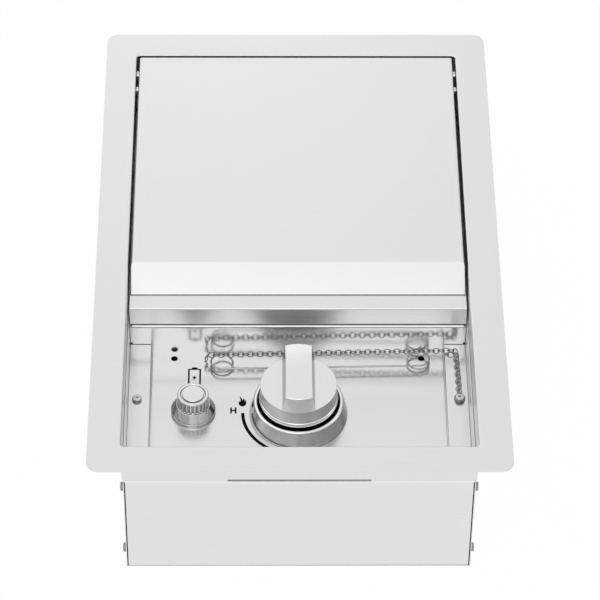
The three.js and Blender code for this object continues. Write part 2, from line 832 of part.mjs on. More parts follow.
function lidPanel(lid) {
  const within = lidHalfX - sheet;
  const below = lidZ(frameHeight - lidSideDepth) - cutOverrun;
  const rearTrim = box(
    -within, within, lidY(lidRearY) - cutOverrun, lidY(lidRearY) + cutOverrun, below,
    lidZ(frameHeight - lidRearDepth),
  );
  const frontTrim = box(
    -lidHalfX - sheet, lidHalfX + sheet, lidY(lidFrontY) - cutOverrun, lidY(lidFrontY) + sheet, below,
    lidZ(handleZ - lidFrontFlange),
  );
  const reach = lidHalfX + cutOverrun;
  const pivot = alongX(bar(hingePinRadius + hingeRunning, -reach, reach));
  const stop = extrude(stopSlot(), 'x', -reach, reach, slotSteps);
  const shell = cut(lidEnvelope(0), lidEnvelope(sheet), rearTrim, frontTrim);
  add('lid_panel', cut(shell, pivot, stop), 'sheet', lid);
}

// As the lid opens, the fixed stop pin travels from the slot's front end down to its rear end
function stopSlot() {
  return arcSlot(stopRadius, hingePinRadius + stopRunning, Math.PI + lidOpenAngle, Math.PI);
}

function hingePlates(lid) {
  const outer = stopRadius + hingePlateMargin;
  const spread = Math.asin(hingePlateMargin / outer);
  const outline = new THREE.Shape();
  outline.absarc(0, 0, outer, Math.PI - spread, Math.PI + lidOpenAngle + spread);
  outline.absarc(0, 0, hingePlateMargin, -Math.PI / 2 + lidOpenAngle, Math.PI / 2);
  outline.closePath();
  for (const [side, sign] of bothSides) {
    const inner = sign * (lidHalfX - sheet - seatGap);
    const [low, high] = [inner, inner - sign * hingePlateThickness].sort((a, b) => a - b);
    const plate = extrude(outline, 'x', low, high, slotSteps);
    const pivot = alongX(bar(hingePinRadius + hingeRunning, low - cutOverrun, high + cutOverrun));
    const stop = extrude(stopSlot(), 'x', low - cutOverrun, high + cutOverrun, slotSteps);
    const trim = box(low, high, -outer, outer, lidZ(frameHeight - lidEdgeRadius - seatGap), outer);
    add(`hinge_plate_${side}`, cut(plate, pivot, stop, trim), 'galvanised', lid);
  }
}

function lidHandle(lid) {
  const rear = lidFrontY - seatGap - sheet / 2;
  const top = handleZ - sheet / 2;
  const front = handleFrontY + sheet / 2;
  const low = handleZ - handleDrop + sheet / 2;
  const line = [
    [rear, handleZ - handleRearLeg], [rear, top], [front, top], [front, low], [front + handleHem, low],
  ];
  const half = lidHalfX + handleOverhang;
  const section = folded(line.map(([y, z]) => [lidY(y), lidZ(z)]), sheet, bendRadius - sheet / 2);
  add('lid_handle', extrude(section, 'x', -half, half), 'sheet', lid);
}

// Rivets stand in the skirt and reach through the lid's side and its hinge plate
function rivet(shoulder, tailX) {
  const head = openHalfX + sheet + seatGap;
  const shoulderOut = openHalfX - seatGap;
  const shoulderIn = lidHalfX + seatGap;
  return alongX(turned([
    [0, tailX], [hingePinRadius, tailX], [hingePinRadius, shoulderIn], [shoulder, shoulderIn],
    [shoulder, shoulderOut], [hingePinRadius, shoulderOut], [hingePinRadius, head],
    [rivetHeadRadius, head], [rivetHeadRadius * rivetTopShare, head + rivetHeadHeight],
    [0, head + rivetHeadHeight],
  ], smallSides));
}

function hingePins() {
  const plateInner = lidHalfX - sheet - seatGap - hingePlateThickness;
  const clipOuter = plateInner - seatGap;
  const hole = hingePinRadius + hingeRunning;
  const clip = alongX(turned([
    [hole, clipOuter - clipThickness], [clipRadius, clipOuter - clipThickness],
    [clipRadius, clipOuter], [hole, clipOuter],
  ], smallSides));
  for (const [side, sign] of bothSides) {
    const turn = sign < 0 ? Math.PI : 0;
    const spun = (body) => body.rotate([0, 0, THREE.MathUtils.radToDeg(turn)]);
    const pivot = [0, pivotY, pivotZ];
    const stop = [0, pivotY - stopRadius, pivotZ];
    const pivotPin = rivet(pivotShoulderRadius, plateInner - pinTail);
    const stopPin = rivet(stopShoulderRadius, plateInner - seatGap);
    add(`hinge_pin_${side}`, spun(pivotPin), 'polished', burner, pivot);
    add(`stop_pin_${side}`, spun(stopPin), 'polished', burner, stop);
    add(`hinge_clip_${side}`, spun(clip), 'galvanised', burner, pivot);
  }
}

// A welded rod grate: a round-cornered frame on the ledge, two cross bars and a row of top bars
function grate() {
  const radius = grateRod / 2;
  const halfX = boxHalfX - sheet - grateRodGap - radius;
  const front = boxFrontY + sheet + boxFrontFold + grateFrontGap + radius;
  const rear = boxRearY - sheet - grateRodGap - radius;
  const frameZ = radius + seatGap;
  const outer = roundedRectangle(halfX + radius, front - radius, rear + radius, grateCornerRadius);
  const inner = roundedRectangle(halfX - radius, front + radius, rear - radius, grateCornerRadius - grateRod);
  outer.holes.push(inner);
  const frame = extrude(outer, 'z', frameZ - radius, frameZ + radius, bendSteps);
  const barAt = (x, z) => alongY(bar(radius, front, rear, grateSides)).translate([x, 0, z]);
  const cross = [-grateCrossShare, grateCrossShare].map((share) => barAt(halfX * share, frameZ));
  const topZ = frameZ + grateRod - grateWeld;
  const pitch = (rear - front) / grateBarCount;
  const tops = Array.from({ length: grateBarCount }, (_, i) => {
    const rod = alongX(bar(radius, -halfX, halfX, grateSides));
    return rod.translate([0, front + (i + 1 / 2) * pitch, topZ]);
  });
  add('grate', join(frame, ...cross, ...tops), 'castIron', burner, [0, 0, boxWallTop]);
}

// The cast burner: a neck with a side socket for the venturi under a shallow bowl
function burnerBase() {
  const neckLow = gasZ - burnerNeckRadius;
  const neckInner = burnerNeckRadius - burnerNeckWall;
  const rim = burnerSeatZ + burnerBowlHeight;
  const bowlFoot = burnerBowlRadius * bowlFootShare;
  const outside = turned([
    [0, neckLow], [burnerNeckRadius, neckLow], [burnerNeckRadius, burnerSeatZ], [bowlFoot, burnerSeatZ],
    [burnerBowlRadius, rim - burnerBowlWall], [burnerBowlRadius, rim], [0, rim],
  ], roundSides);
  const floor = gasZ - venturiEndRadius;
  const inside = turned([
    [0, floor], [neckInner, floor], [neckInner, burnerSeatZ + burnerBowlWall],
    [bowlFoot - burnerBowlWall, burnerSeatZ + burnerBowlWall],
    [burnerBowlRadius - burnerBowlWall * 2, rim], [burnerBowlRadius - burnerBowlWall * 2, rim + cutOverrun],
    [0, rim + cutOverrun],
  ], roundSides);
  const socket = alongY(bar(venturiEndRadius + burnerSocketWall, -burnerSocketReach, 0, mediumSides));
  const mouth = alongY(bar(venturiEndRadius + seatGap * 2, -burnerSocketReach - cutOverrun, 0, mediumSides));
  const body = cut(join(outside, socket.translate([0, 0, gasZ])), inside, mouth.translate([0, 0, gasZ]));
  add('burner_base', body, 'castIron', burner, [0, burnerY, 0]);
}

function burnerCap() {
  const outer = burnerBowlRadius;
  const neck = capSpigotRadius;
  const crown = capHeight - capCrown;
  const body = turned([
    [0, 0], [neck - burnerBowlWall, 0], [neck - burnerBowlWall, -capSpigotDepth], [neck, -capSpigotDepth],
    [neck, 0], [outer, 0], [outer, crown], [outer - capCrown, capHeight - capCrown / 2], [0, capHeight],
  ], fineSides);
  const port = box(
    neck - burnerBowlWall - cutOverrun, outer + cutOverrun, -capPortWidth / 2, capPortWidth / 2,
    -cutOverrun * 2, capPortDepth,
  );
  const ports = Array.from({ length: capPortCount }, (_, i) => port.rotate([0, 0, (360 * i) / capPortCount]));
  const z = burnerSeatZ + burnerBowlHeight + seatGap;
  add('burner_cap', cut(body, ...ports), 'castIron', burner, [0, burnerY, z]);
}

// A folded bridge over the box floor carries the burner and the electrode
function burnerBracket() {
  const low = boxFloorZ + sheet + seatGap + bracketSheet / 2;
  const high = burnerSeatZ - seatGap - bracketSheet / 2;
  const section = folded([
    [-bracketHalf - bracketFoot, low], [-bracketHalf, low], [-bracketHalf, high], [bracketHalf, high],
    [bracketHalf, low], [bracketHalf + bracketFoot, low],
  ], bracketSheet);
  const half = bracketDepth / 2;
  const bridge = extrude(section, 'y', burnerY - half, burnerY + half);
  const neck = bar(burnerNeckRadius + seatGap, high - cutOverrun, high + cutOverrun, roundSides);
  const rod = bar(ceramicRadius + seatGap, high - cutOverrun, high + cutOverrun);
  const socket = venturiEndRadius + burnerSocketWall + seatGap;
  const notch = box(
    -socket, socket, burnerY - half - cutOverrun, burnerY, high - cutOverrun, high + cutOverrun,
  );
  const holes = [neck.translate([0, burnerY, 0]), rod.translate([electrodeX, burnerY, 0])];
  add('burner_bracket', cut(bridge, notch, ...holes), 'galvanised');
}

// Venturi: bell mouth, throat and a widening tail that ends in the burner's socket
function venturi() {
  const start = venturiStartY;
  const end = burnerY - burnerNeckRadius - seatGap;
  const throat = start + venturiMouthLength;
  const tail = throat + venturiThroatLength;
  const outline = [
    [venturiMouthRadius, start], [venturiMouthRadius, start + shutterLength / 4],
    [venturiThroatRadius + venturiWall, throat], [venturiThroatRadius + venturiWall, tail],
    [venturiEndRadius, tail + venturiMouthLength], [venturiEndRadius, end],
  ];
  const bore = outline.map(([radius, y]) => [radius - venturiWall, y]).reverse();
  add('venturi_tube', alongY(turned([...outline, ...bore], mediumSides)), 'galvanised', burner, [0, 0, gasZ]);
}

// The shutter turns on the bell mouth and covers more or less of its air windows
function airShutter() {
  const inner = venturiMouthRadius + shutterPinch;
  const outer = inner + venturiWall;
  const faceY = -shutterLength * shutterFrontShare;
  const sleeve = turned([
    [injectorRadius + seatGap * 2, faceY], [outer, faceY], [outer, shutterLength + faceY],
    [inner, shutterLength + faceY], [inner, faceY + venturiWall],
    [injectorRadius + seatGap * 2, faceY + venturiWall],
  ]);
  const window = shutterWindow / 2;
  const opening = box(
    -window, window, -outer - cutOverrun, outer + cutOverrun, faceY + venturiWall * 2, -seatGap,
  );
  const cross = cut(sleeve, opening, opening.rotate([0, 0, 90]));
  add('air_shutter', alongY(cross), 'galvanised', burner, [0, venturiStartY, gasZ]);
}

function injector() {
  const start = knobY + valveRadius + valveOutletReach + seatGap;
  const tip = injectorLength * injectorTipShare;
  const spud = turned([
    [injectorBore, 0], [injectorRadius, 0], [injectorRadius, injectorLength - tip],
    [injectorTipRadius, injectorLength], [injectorBore, injectorLength],
  ], wireSides);
  add('injector', alongY(spud), 'brass', burner, [0, start, gasZ]);
}

// Tapered-plug valve: a barrel with ears under the panel, a rear outlet and a side inlet
function valveBody() {
  const top = panelUnderZ - floorZ;
  const low = top - valveLength;
  const z = -gasAxisDepth;
  const barrel = bar(valveRadius, low, top, roundSides);
  const ears = new THREE.Shape();
  ears.absarc(valveEarLength, 0, valveEarRadius, -Math.PI / 2, Math.PI / 2);
  ears.absarc(-valveEarLength, 0, valveEarRadius, Math.PI / 2, Math.PI * 1.5);
  ears.closePath();
  const flange = extrude(ears, 'z', top - valveEarThickness, top, bendSteps);
  const outlet = alongY(bar(valveOutletRadius, 0, valveRadius + valveOutletReach)).translate([0, 0, z]);
  const inlet = alongX(bar(valveInletRadius, 0, valveRadius + valveInletReach)).translate([0, 0, z]);
  const bore = bar(valveBore, low + valveFloor, top + cutOverrun);
  const outletBore = alongY(bar(injectorTipRadius, 0, valveRadius + valveOutletReach + cutOverrun));
  const inletBore = alongX(bar(injectorTipRadius, 0, valveRadius + valveInletReach + cutOverrun));
  const bores = [bore, outletBore.translate([0, 0, z]), inletBore.translate([0, 0, z])];
  add('valve_body', cut(join(barrel, flange, outlet, inlet), ...bores), 'brass', burner, [0, knobY, floorZ]);
}

// The stem carries a flat for the knob and turns in a collar that slides in the valve
function valveStem() {
  const top = knobLift + stemEngagement;
  const low = panelUnderZ - floorZ - collarHeight * 2;
  const flat = box(
    -stemRadius - cutOverrun, stemRadius + cutOverrun, stemFlat, stemRadius + cutOverrun, knobLift,
    top + cutOverrun,
  );
  const stem = cut(bar(stemRadius, low, top, roundSides), flat);
  add('valve_stem', stem, 'brass', burner, [0, knobY, floorZ]);
  const inner = stemRadius + stemClearance;
  const collarTop = low + collarHeight;
  const collar = turned([[inner, low], [collarRadius, low], [collarRadius, collarTop], [inner, collarTop]]);
  add('valve_collar', collar, 'brass', burner, [0, knobY, floorZ]);
}

// Knob: a round skirted body, milled down on both sides to a tapered grip bar
function knob() {
  const top = knobHeight;
  const inner = knobRadius - knobWall;
  const body = turned([
    [0, 0], [knobHubRadius, 0], [knobHubRadius, knobCavity], [inner, knobCavity], [inner, 0],
    [knobRimRadius, 0], [knobRimRadius, knobRimHeight - knobEdge], [knobRadius, knobRimHeight],
    [knobRadius, top - knobEdge - knobCrown],
    [knobRadius - knobEdge, top - knobCrown], [knobRadius / 2, top - knobCrown / 4], [0, top],
  ], fineSides);
  const far = knobRimRadius + cutOverrun;
  const sides = [-1, 1].map((sign) => new THREE.Shape([
    v2(sign * knobBarBase / 2, knobShoulder), v2(sign * far, knobShoulder),
    v2(sign * far, top + cutOverrun), v2(sign * knobBarTop / 2, top + cutOverrun),
  ]));
  const milled = sides.map((outline) => extrude(outline, 'y', -far, far));
  const bore = cut(
    bar(stemRadius + stemClearance, -cutOverrun, stemEngagement + seatGap, roundSides),
    box(-stemRadius, stemRadius, stemFlat + stemClearance, far, -far, far),
  );
  add('knob', cut(body, ...milled, bore), 'polished', burner, [0, knobY, knobZ]);
}

function knobBezel() {
  const top = bezelHeight - seatGap;
  const [lowest, middle, inward] = bezelEdgeShares.map((share) => share * bezelEdge);
  const profile = [
    [bezelStemRadius, 0], [bezelBaseRadius, 0], [bezelBaseRadius, bezelFoot],
    [bezelTopRadius, top - lowest], [bezelTopRadius - inward, top - middle],
    [bezelTopRadius - bezelEdge, top], [bezelInnerRadius + bezelEdge, top],
    [bezelInnerRadius, top - bezelEdge], [bezelInnerRadius, bezelFloor], [bezelStemRadius, bezelFloor],
  ];
  add('knob_bezel', turned(profile, fineSides), 'polished', burner, [0, knobY, floorZ + seatGap]);
}

// The igniter's barrel holds the cell; a ring nut and a conical bezel clamp it in the panel
function igniter() {
  const place = [igniterX, igniterY, floorZ];
  const low = barrelRise - barrelLength;
  const barrel = turned([
    [0, low], [barrelRadius, low], [barrelRadius, barrelRise], [barrelBore, barrelRise],
    [barrelBore, low + barrelFloor], [0, low + barrelFloor],
  ]);
  add('igniter_body', barrel, 'blackPlastic', burner, place);
  const hole = barrelRadius + seatGap;
  const nutTop = -sheet - seatGap;
  const nut = turned([
    [hole, nutTop - ringNutHeight], [ringNutRadius, nutTop - ringNutHeight], [ringNutRadius, nutTop],
    [hole, nutTop],
  ], mediumSides);
  add('igniter_nut', nut, 'blackPlastic', burner, place);
  const clear = igniterCapRadius + seatGap;
  const cone = turned([
    [hole, seatGap], [igniterBezelFoot, seatGap], [igniterBezelRadius, igniterBezelLow],
    [igniterBezelRadius, igniterBezelRim], [clear + igniterBezelTop, igniterBezelHeight],
    [clear, igniterBezelHeight], [clear, igniterBezelFloor], [hole, igniterBezelFloor],
  ], fineSides);
  add('igniter_bezel', cone, 'polished', burner, place);
  const cellLow = low + barrelFloor + seatGap;
  const cellTop = cellLow + batteryLength;
  const cell = turned([
    [0, cellLow], [batteryRadius, cellLow], [batteryRadius, cellTop], [batteryNubRadius, cellTop],
    [batteryNubRadius, cellTop + batteryNubHeight], [0, cellTop + batteryNubHeight],
  ], smallSides);
  add('igniter_battery', cell, 'cell', burner, place);
  igniterCap(place, cellTop + batteryNubHeight + igniterPush + seatGap);
}

// The button: a knurled cap with a ringed top, and a post that reaches down to the cell
function igniterCap(place, postLow) {
  const low = igniterCapTop - igniterCapHeight;
  const inner = igniterCapRadius - igniterCapWall;
  const roof = igniterCapTop - igniterCapRoof;
  const grooveOut = capGrooveRadius + capGrooveWidth / 2;
  const grooveIn = capGrooveRadius - capGrooveWidth / 2;
  const groove = igniterCapTop - capGrooveDepth;
  const body = turned([
    [0, postLow], [igniterPost, postLow], [igniterPost, roof], [inner, roof], [inner, low],
    [igniterCapRadius, low], [igniterCapRadius, igniterCapTop - knobEdge],
    [igniterCapRadius - knobEdge, igniterCapTop], [grooveOut, igniterCapTop], [grooveOut, groove],
    [grooveIn, groove], [grooveIn, igniterCapTop - knurlDepth / 2], [0, igniterCapTop - knurlDepth / 2],
  ], knurlCount);
  const flute = alongZGroove(low, igniterCapTop - knobEdge * 2);
  const flutes = Array.from({ length: knurlCount }, (_, i) => flute.rotate([0, 0, (360 * i) / knurlCount]));
  add('igniter_cap', cut(body, ...flutes), 'polished', burner, place);
}

// One V-shaped flute of the knurl
function alongZGroove(low, high) {
  const half = (Math.PI * igniterCapRadius) / knurlCount / 2;
  const outline = new THREE.Shape([
    v2(igniterCapRadius - knurlDepth, 0), v2(igniterCapRadius + knurlDepth, -half * 2),
    v2(igniterCapRadius + knurlDepth, half * 2),
  ]);
  return extrude(outline, 'z', low - cutOverrun, high);
}

// A ceramic rod stands in the bridge and holds the spark wire at the burner's ports
function electrode() {
  const collar = burnerSeatZ + seatGap;
  const top = collar + ceramicCollarHeight + ceramicRise;
  const low = top - ceramicLength;
  const bore = electrodeRadius + seatGap;
  const ceramic = turned([
    [bore, low], [ceramicRadius, low], [ceramicRadius, collar], [ceramicCollarRadius, collar],
    [ceramicCollarRadius, collar + ceramicCollarHeight], [ceramicRadius, collar + ceramicCollarHeight],
    [ceramicRadius, top], [bore, top],
  ], smallSides);
  add('electrode_ceramic', ceramic, 'ceramic', burner, [electrodeX, burnerY, 0]);
  const tip = top + electrodeRise;
  const reach = -electrodeX - burnerBowlRadius - ceramicRadius;
  const line = [v3(0, 0, low - electrodeTail), v3(0, 0, tip), v3(reach, 0, tip)];
  const pin = wire(new BentPath(line, electrodeRadius * 2), electrodeRadius, wireSides);
  add('electrode_pin', pin, 'galvanised', burner, [electrodeX, burnerY, 0]);
  return low - electrodeTail;
}

// The ignition lead runs from the igniter, through the box wall, to the foot of the electrode
function ignitionLead(pinLow) {
  const startX = igniterX + barrelRadius + seatGap;
  const startZ = floorZ + barrelRise - barrelLength + barrelFloor * 2;
  const turnX = (startX + electrodeX) / 2;
  const path = new BentPath([
    v3(startX, igniterY, startZ),
    v3(turnX, igniterY, startZ),
    v3(electrodeX, boxFrontY - leadBend * 3, leadZ),
    v3(electrodeX, burnerY, leadZ),
    v3(electrodeX, burnerY, pinLow - seatGap * 2),
  ], leadBend);
  add('ignition_lead', wire(path, leadRadius, wireSides), 'redRubber');
}

// The supply pipe drops from the valve and runs under the burner box to the rear inlet
function gasSupply() {
  const startX = valveRadius + valveInletReach + seatGap;
  const fittingStart = bodyRearY - sheet - fittingInside;
  const points = [
    v3(startX, knobY, gasZ), v3(pipeX, knobY, gasZ), v3(pipeX, knobY, pipeZ),
    v3(pipeX, fittingStart - seatGap, pipeZ),
  ];
  const path = new BentPath(points, pipeBend);
  const pipe = wire(path, pipeRadius, grateSides, path.steps, pipeRadius - pipeWall);
  add('supply_pipe', pipe, 'galvanised');
  const hexEnd = fittingStart + fittingHexLength;
  const end = bodyRearY + fittingReach;
  const hex = bar(fittingHexRadius, fittingStart, hexEnd, wireSides);
  const thread = turned([
    [0, hexEnd - cutOverrun], [fittingRadius, hexEnd - cutOverrun], [fittingRadius, end - fittingChamfer],
    [fittingRadius - fittingChamfer, end], [0, end],
  ], mediumSides);
  const bore = bar(fittingBore, fittingStart - cutOverrun, end + cutOverrun);
  add('inlet_fitting', alongY(cut(join(hex, thread), bore)), 'brass', burner, [pipeX, 0, pipeZ]);
  const nutStart = bodyRearY + seatGap;
  const nutEnd = nutStart + locknutThickness;
  const nutHole = bar(fittingRadius + seatGap, nutStart - cutOverrun, nutEnd + cutOverrun, mediumSides);
  const nut = cut(bar(locknutRadius, nutStart, nutEnd, wireSides), nutHole);
  add('inlet_locknut', alongY(nut.rotate([0, 0, locknutTurn])), 'brass', burner, [pipeX, 0, pipeZ]);
}

// A straight wire whose ends are wound down into open coils, which stand on the recess floor
function matchHolder() {
  const half = holderLength / 2 - holderCoilRadius - holderWire;
  const drop = holderCoilPitch * holderCoilTurns;
  const straight = new THREE.LineCurve3(v3(-half, 0, drop), v3(half, 0, drop));
  const rod = wire(straight, holderWire, wireSides, 1);
  const coils = bothSides.map(([, sign]) => {
    const coil = new THREE.Curve();
    coil.getPoint = (share) => {
      const angle = sign * share * holderCoilTurns * Math.PI * 2 - Math.PI / 2;
      const x = sign * half + holderCoilRadius * Math.cos(angle);
      return v3(x, holderCoilRadius * (1 + Math.sin(angle)), drop * (1 - share));
    };
    return wire(coil, holderWire, wireSides, coilSteps);
  });
  const body = join(rod, ...coils).rotate([0, 0, holderTurn]);
  const place = [holderCentreX, wallY - holderRodInset, floorZ + seatGap + holderWire];
  add('match_holder', body, 'polished', burner, place);
}

// One chain link: a ring drawn out into two straight sides, lying in X-Y
function link(radius, straight) {
  const ring = new THREE.TorusGeometry(radius, linkWire, linkSides, linkSteps);
  ring.rotateZ(Math.PI / linkSteps);
  const position = ring.getAttribute('position');
  for (let i = 0; i < position.count; i += 1) {
    position.setX(i, position.getX(i) + (Math.sign(position.getX(i)) * straight) / 2);
  }
  return solid(ring);
}

// The chain hangs on the right panel screw, lies along the ledge and is laid over the holder's left coil
function matchChain() {
  const onLedge = ledgeZ + linkRest;
  const onCoil = floorZ + holderCoilPitch * holderCoilTurns + holderWire * 2 + linkRest + chainGap;
  const chainY = wallY - chainWallInset;
  const ringZ = ledgeZ + seatGap + linkWire;
  const ringY = panelScrewY + ringShift;
  const coilX = holderCentreX - holderLength / 2 + holderCoilRadius;
  const endX = holderCentreX - holderLength / 2 - chainCorner;
  const path = new BentPath([
    v3(panelScrewX, ringY + ringRadius, ringZ), v3(panelScrewX, ringY + ringRadius + chainCorner, onLedge),
    v3(chainLedgeX, chainY, onLedge), v3(controlHalfWidth, chainY, onLedge),
    v3(coilX, chainY, onCoil), v3(endX, chainY, onCoil), v3(endX, chainY, floorZ + linkRest),
  ], chainCorner).even();
  const innerWire = linkWire * Math.cos(Math.PI / linkSides);
  const inner = (linkRadius - innerWire) * Math.cos(Math.PI / linkSteps);
  const pitch = inner * 2 + linkStraight + linkBite;
  const count = Math.round(path.getLength() / pitch);
  const places = path.getSpacedPoints(count * 2);
  const shape = link(linkRadius, linkStraight);
  const links = [];
  for (let i = 0; i < count; i += 1) {
    const along = places[i * 2 + 2].clone().sub(places[i * 2]).normalize();
    const up = v3(0, 0, 1).addScaledVector(along, -along.z).normalize();
    const basis = new THREE.Matrix4().makeBasis(along, up.clone().cross(along), up);
    const tilt = i === 0 ? 0 : Math.PI / 4;
    const roll = new THREE.Matrix4().makeRotationX(i % 2 ? tilt : -tilt);
    const matrix = basis.multiply(roll).setPosition(places[i * 2 + 1]);
    links.push(shape.transform(matrix.elements));
  }
  const ring = link(ringRadius, 0).translate([panelScrewX, ringY, ringZ]);
  add('match_chain', join(ring, ...links), 'polished');
}

topFrame();
sidePanels();
endPanels();
bottomPan();
boxRails();
burnerBox();
controlPanel();
panelRails();
screws();

const lid = groupAt(0, pivotY, pivotZ);
lidPanel(lid);
hingePlates(lid);
lidHandle(lid);
hingePins();

grate();
burnerBase();
burnerCap();
burnerBracket();
venturi();
airShutter();
injector();
valveBody();
valveStem();
knob();
knobBezel();
igniter();
ignitionLead(electrode());
gasSupply();
matchHolder();
matchChain();

export default burner;
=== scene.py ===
# %% [markdown]
# # A built-in gas side burner
# The burner drops into a cut-out in an outdoor worktop. A wide steel frame covers the edge of the
# cut-out, a flush lid hides the burner, and the knob, the igniter and a match holder sit in a sunken
# recess in front of it. The solids come from the CAD model. This lesson gives them their finishes and
# models anew the pieces whose round shapes need more detail than the solids hold.

# %% Load the solids
import math
from contextlib import contextmanager

import bmesh
import bpy
from mathutils import Matrix, Vector


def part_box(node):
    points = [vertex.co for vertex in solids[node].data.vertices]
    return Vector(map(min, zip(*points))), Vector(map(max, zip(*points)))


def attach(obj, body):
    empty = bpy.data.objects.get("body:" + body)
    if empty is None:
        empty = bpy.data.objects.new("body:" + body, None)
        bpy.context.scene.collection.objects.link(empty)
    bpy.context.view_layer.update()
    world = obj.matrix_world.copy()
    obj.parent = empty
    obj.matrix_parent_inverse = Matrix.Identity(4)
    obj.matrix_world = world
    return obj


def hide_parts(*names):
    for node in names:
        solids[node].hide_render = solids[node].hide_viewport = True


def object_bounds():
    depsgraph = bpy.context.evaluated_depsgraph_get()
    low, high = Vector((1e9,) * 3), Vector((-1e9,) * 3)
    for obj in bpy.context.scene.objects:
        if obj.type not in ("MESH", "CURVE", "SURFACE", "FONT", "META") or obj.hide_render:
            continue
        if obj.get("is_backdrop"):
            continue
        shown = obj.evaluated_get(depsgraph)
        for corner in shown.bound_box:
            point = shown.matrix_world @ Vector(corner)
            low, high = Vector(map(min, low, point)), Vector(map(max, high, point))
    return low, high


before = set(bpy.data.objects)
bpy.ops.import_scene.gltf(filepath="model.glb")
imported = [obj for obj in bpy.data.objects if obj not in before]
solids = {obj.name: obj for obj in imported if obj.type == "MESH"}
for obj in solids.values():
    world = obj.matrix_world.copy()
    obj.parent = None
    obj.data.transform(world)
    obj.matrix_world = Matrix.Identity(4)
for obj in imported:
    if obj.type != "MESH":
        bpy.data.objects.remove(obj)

scene = bpy.context.scene
MM = 0.001
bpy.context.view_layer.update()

# %% [markdown]
# The camera comes first, because every later choice is judged through it. Its place and angles were
# worked out from the straight edges of the frame, whose size is known: a long lens, looking down from
# the front at about 46 degrees. A matrix of three directions is clearer than three chained rotations.

# %% Camera
CAMERA_PLACE = Vector((-28.44, -1927.97, 2055.27)) * MM
PITCH, TURN, ROLL = (math.radians(angle) for angle in (45.762, 0.918, 0.662))
FOCAL_LENGTH_IN_PICTURES = 3193.3 / 600
SENSOR_WIDTH = 36

forward = Vector((math.sin(TURN) * math.cos(PITCH), math.cos(TURN) * math.cos(PITCH), -math.sin(PITCH)))
level = Vector((math.cos(TURN), -math.sin(TURN), 0))
upright = level.cross(forward)
camera_right = level * math.cos(ROLL) + upright * math.sin(ROLL)
camera_up = upright * math.cos(ROLL) - level * math.sin(ROLL)

bpy.ops.object.camera_add()
camera = bpy.context.object
camera.data.lens = FOCAL_LENGTH_IN_PICTURES * SENSOR_WIDTH
camera.data.sensor_width = SENSOR_WIDTH
camera.matrix_world = Matrix.Translation(CAMERA_PLACE) @ Matrix(
    (camera_right, camera_up, -forward)
).transposed().to_4x4()
scene.camera = camera
scene.view_settings.view_transform = "Standard"
print("lens:", round(camera.data.lens, 1), "mm")

# %% [markdown]
# Node materials are built by code in this lesson, so one helper adds a node, sets its sockets and
# links it. A socket's value may be a number, a colour or another node's output. Sums are needed so
# often that they get a helper of their own.

# %% Helpers for nodes
def node(tree, kind, settings=None, **sockets):
    made = tree.nodes.new(kind)
    for key, value in (settings or {}).items():
        setattr(made, key, value)
    for key, value in sockets.items():
        socket = made.inputs[int(key[1:])] if key[1:].isdigit() else made.inputs[key.replace("_", " ")]
        if isinstance(value, bpy.types.NodeSocket):
            tree.links.new(value, socket)
        else:
            socket.default_value = value
    return made


def maths(tree, operation, first, second=0.0):
    return node(tree, "ShaderNodeMath", {"operation": operation}, _0=first, _1=second).outputs[0]

# %% [markdown]
# The studio is a white floor that runs into a white background. Both are white to the camera and to
# reflections, so the steel shows a white room, while the light that really falls on the burner stays
# at a plain level. Light Path tells the kinds of ray apart. The room is brighter on its left, which
# gives the steel its slow change of tone from side to side.

# %% Floor and world
def is_seen_or_mirrored(tree):
    path = node(tree, "ShaderNodeLightPath").outputs
    mirrored = maths(tree, "MAXIMUM", path["Is Glossy Ray"], path["Is Transmission Ray"])
    return maths(tree, "MAXIMUM", path["Is Camera Ray"], mirrored)


def cleared(owner):
    owner.use_nodes = True
    owner.node_tree.nodes.clear()
    return owner.node_tree


WHITE, PAPER_WHITE = (1, 1, 1, 1), (0.86, 0.86, 0.86, 1)
ROOM_LIGHT = 0.7
LEFT_WALL, RIGHT_WALL = 1.13, 0.82
FLOOR_GLOW, FLOOR_SIZE, FLOOR_HEIGHT = 0.97, 40, -0.2 * MM

scene.world = bpy.data.worlds.new("white_room")
tree = cleared(scene.world)
strength = node(tree, "ShaderNodeMapRange", _0=is_seen_or_mirrored(tree), _3=ROOM_LIGHT, _4=1)
direction = node(tree, "ShaderNodeTexCoord").outputs["Generated"]
sideways = node(tree, "ShaderNodeSeparateXYZ", Vector=direction).outputs["X"]
shade = node(tree, "ShaderNodeMapRange", _0=sideways, _1=-1, _2=1, _3=LEFT_WALL, _4=RIGHT_WALL)
tint = maths(tree, "MULTIPLY", strength.outputs[0], shade.outputs[0])
background = node(tree, "ShaderNodeBackground", Color=WHITE, Strength=tint)
node(tree, "ShaderNodeOutputWorld", Surface=background.outputs[0])

bpy.ops.mesh.primitive_plane_add(size=FLOOR_SIZE, location=(0, 0, FLOOR_HEIGHT))
floor = bpy.context.object
floor.name = "studio_floor"
paper = bpy.data.materials.new("white_paper")
tree = cleared(paper)
matte = node(tree, "ShaderNodeBsdfDiffuse", Color=PAPER_WHITE)
glow = node(tree, "ShaderNodeEmission", Color=WHITE, Strength=1)
share = maths(tree, "MULTIPLY", is_seen_or_mirrored(tree), FLOOR_GLOW)
surface = node(tree, "ShaderNodeMixShader", _0=share, _1=matte.outputs[0], _2=glow.outputs[0])
node(tree, "ShaderNodeOutputMaterial", Surface=surface.outputs[0])
floor.data.materials.append(paper)
floor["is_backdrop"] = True
print("stage: floor and world")

# %% [markdown]
# Four soft boxes light the burner: a large one above and in front, which makes the sloping front of
# the lid the brightest face, and weaker ones behind it and at its sides. An area light's power is
# worked out from how bright its face should look, because that is what polished steel mirrors.

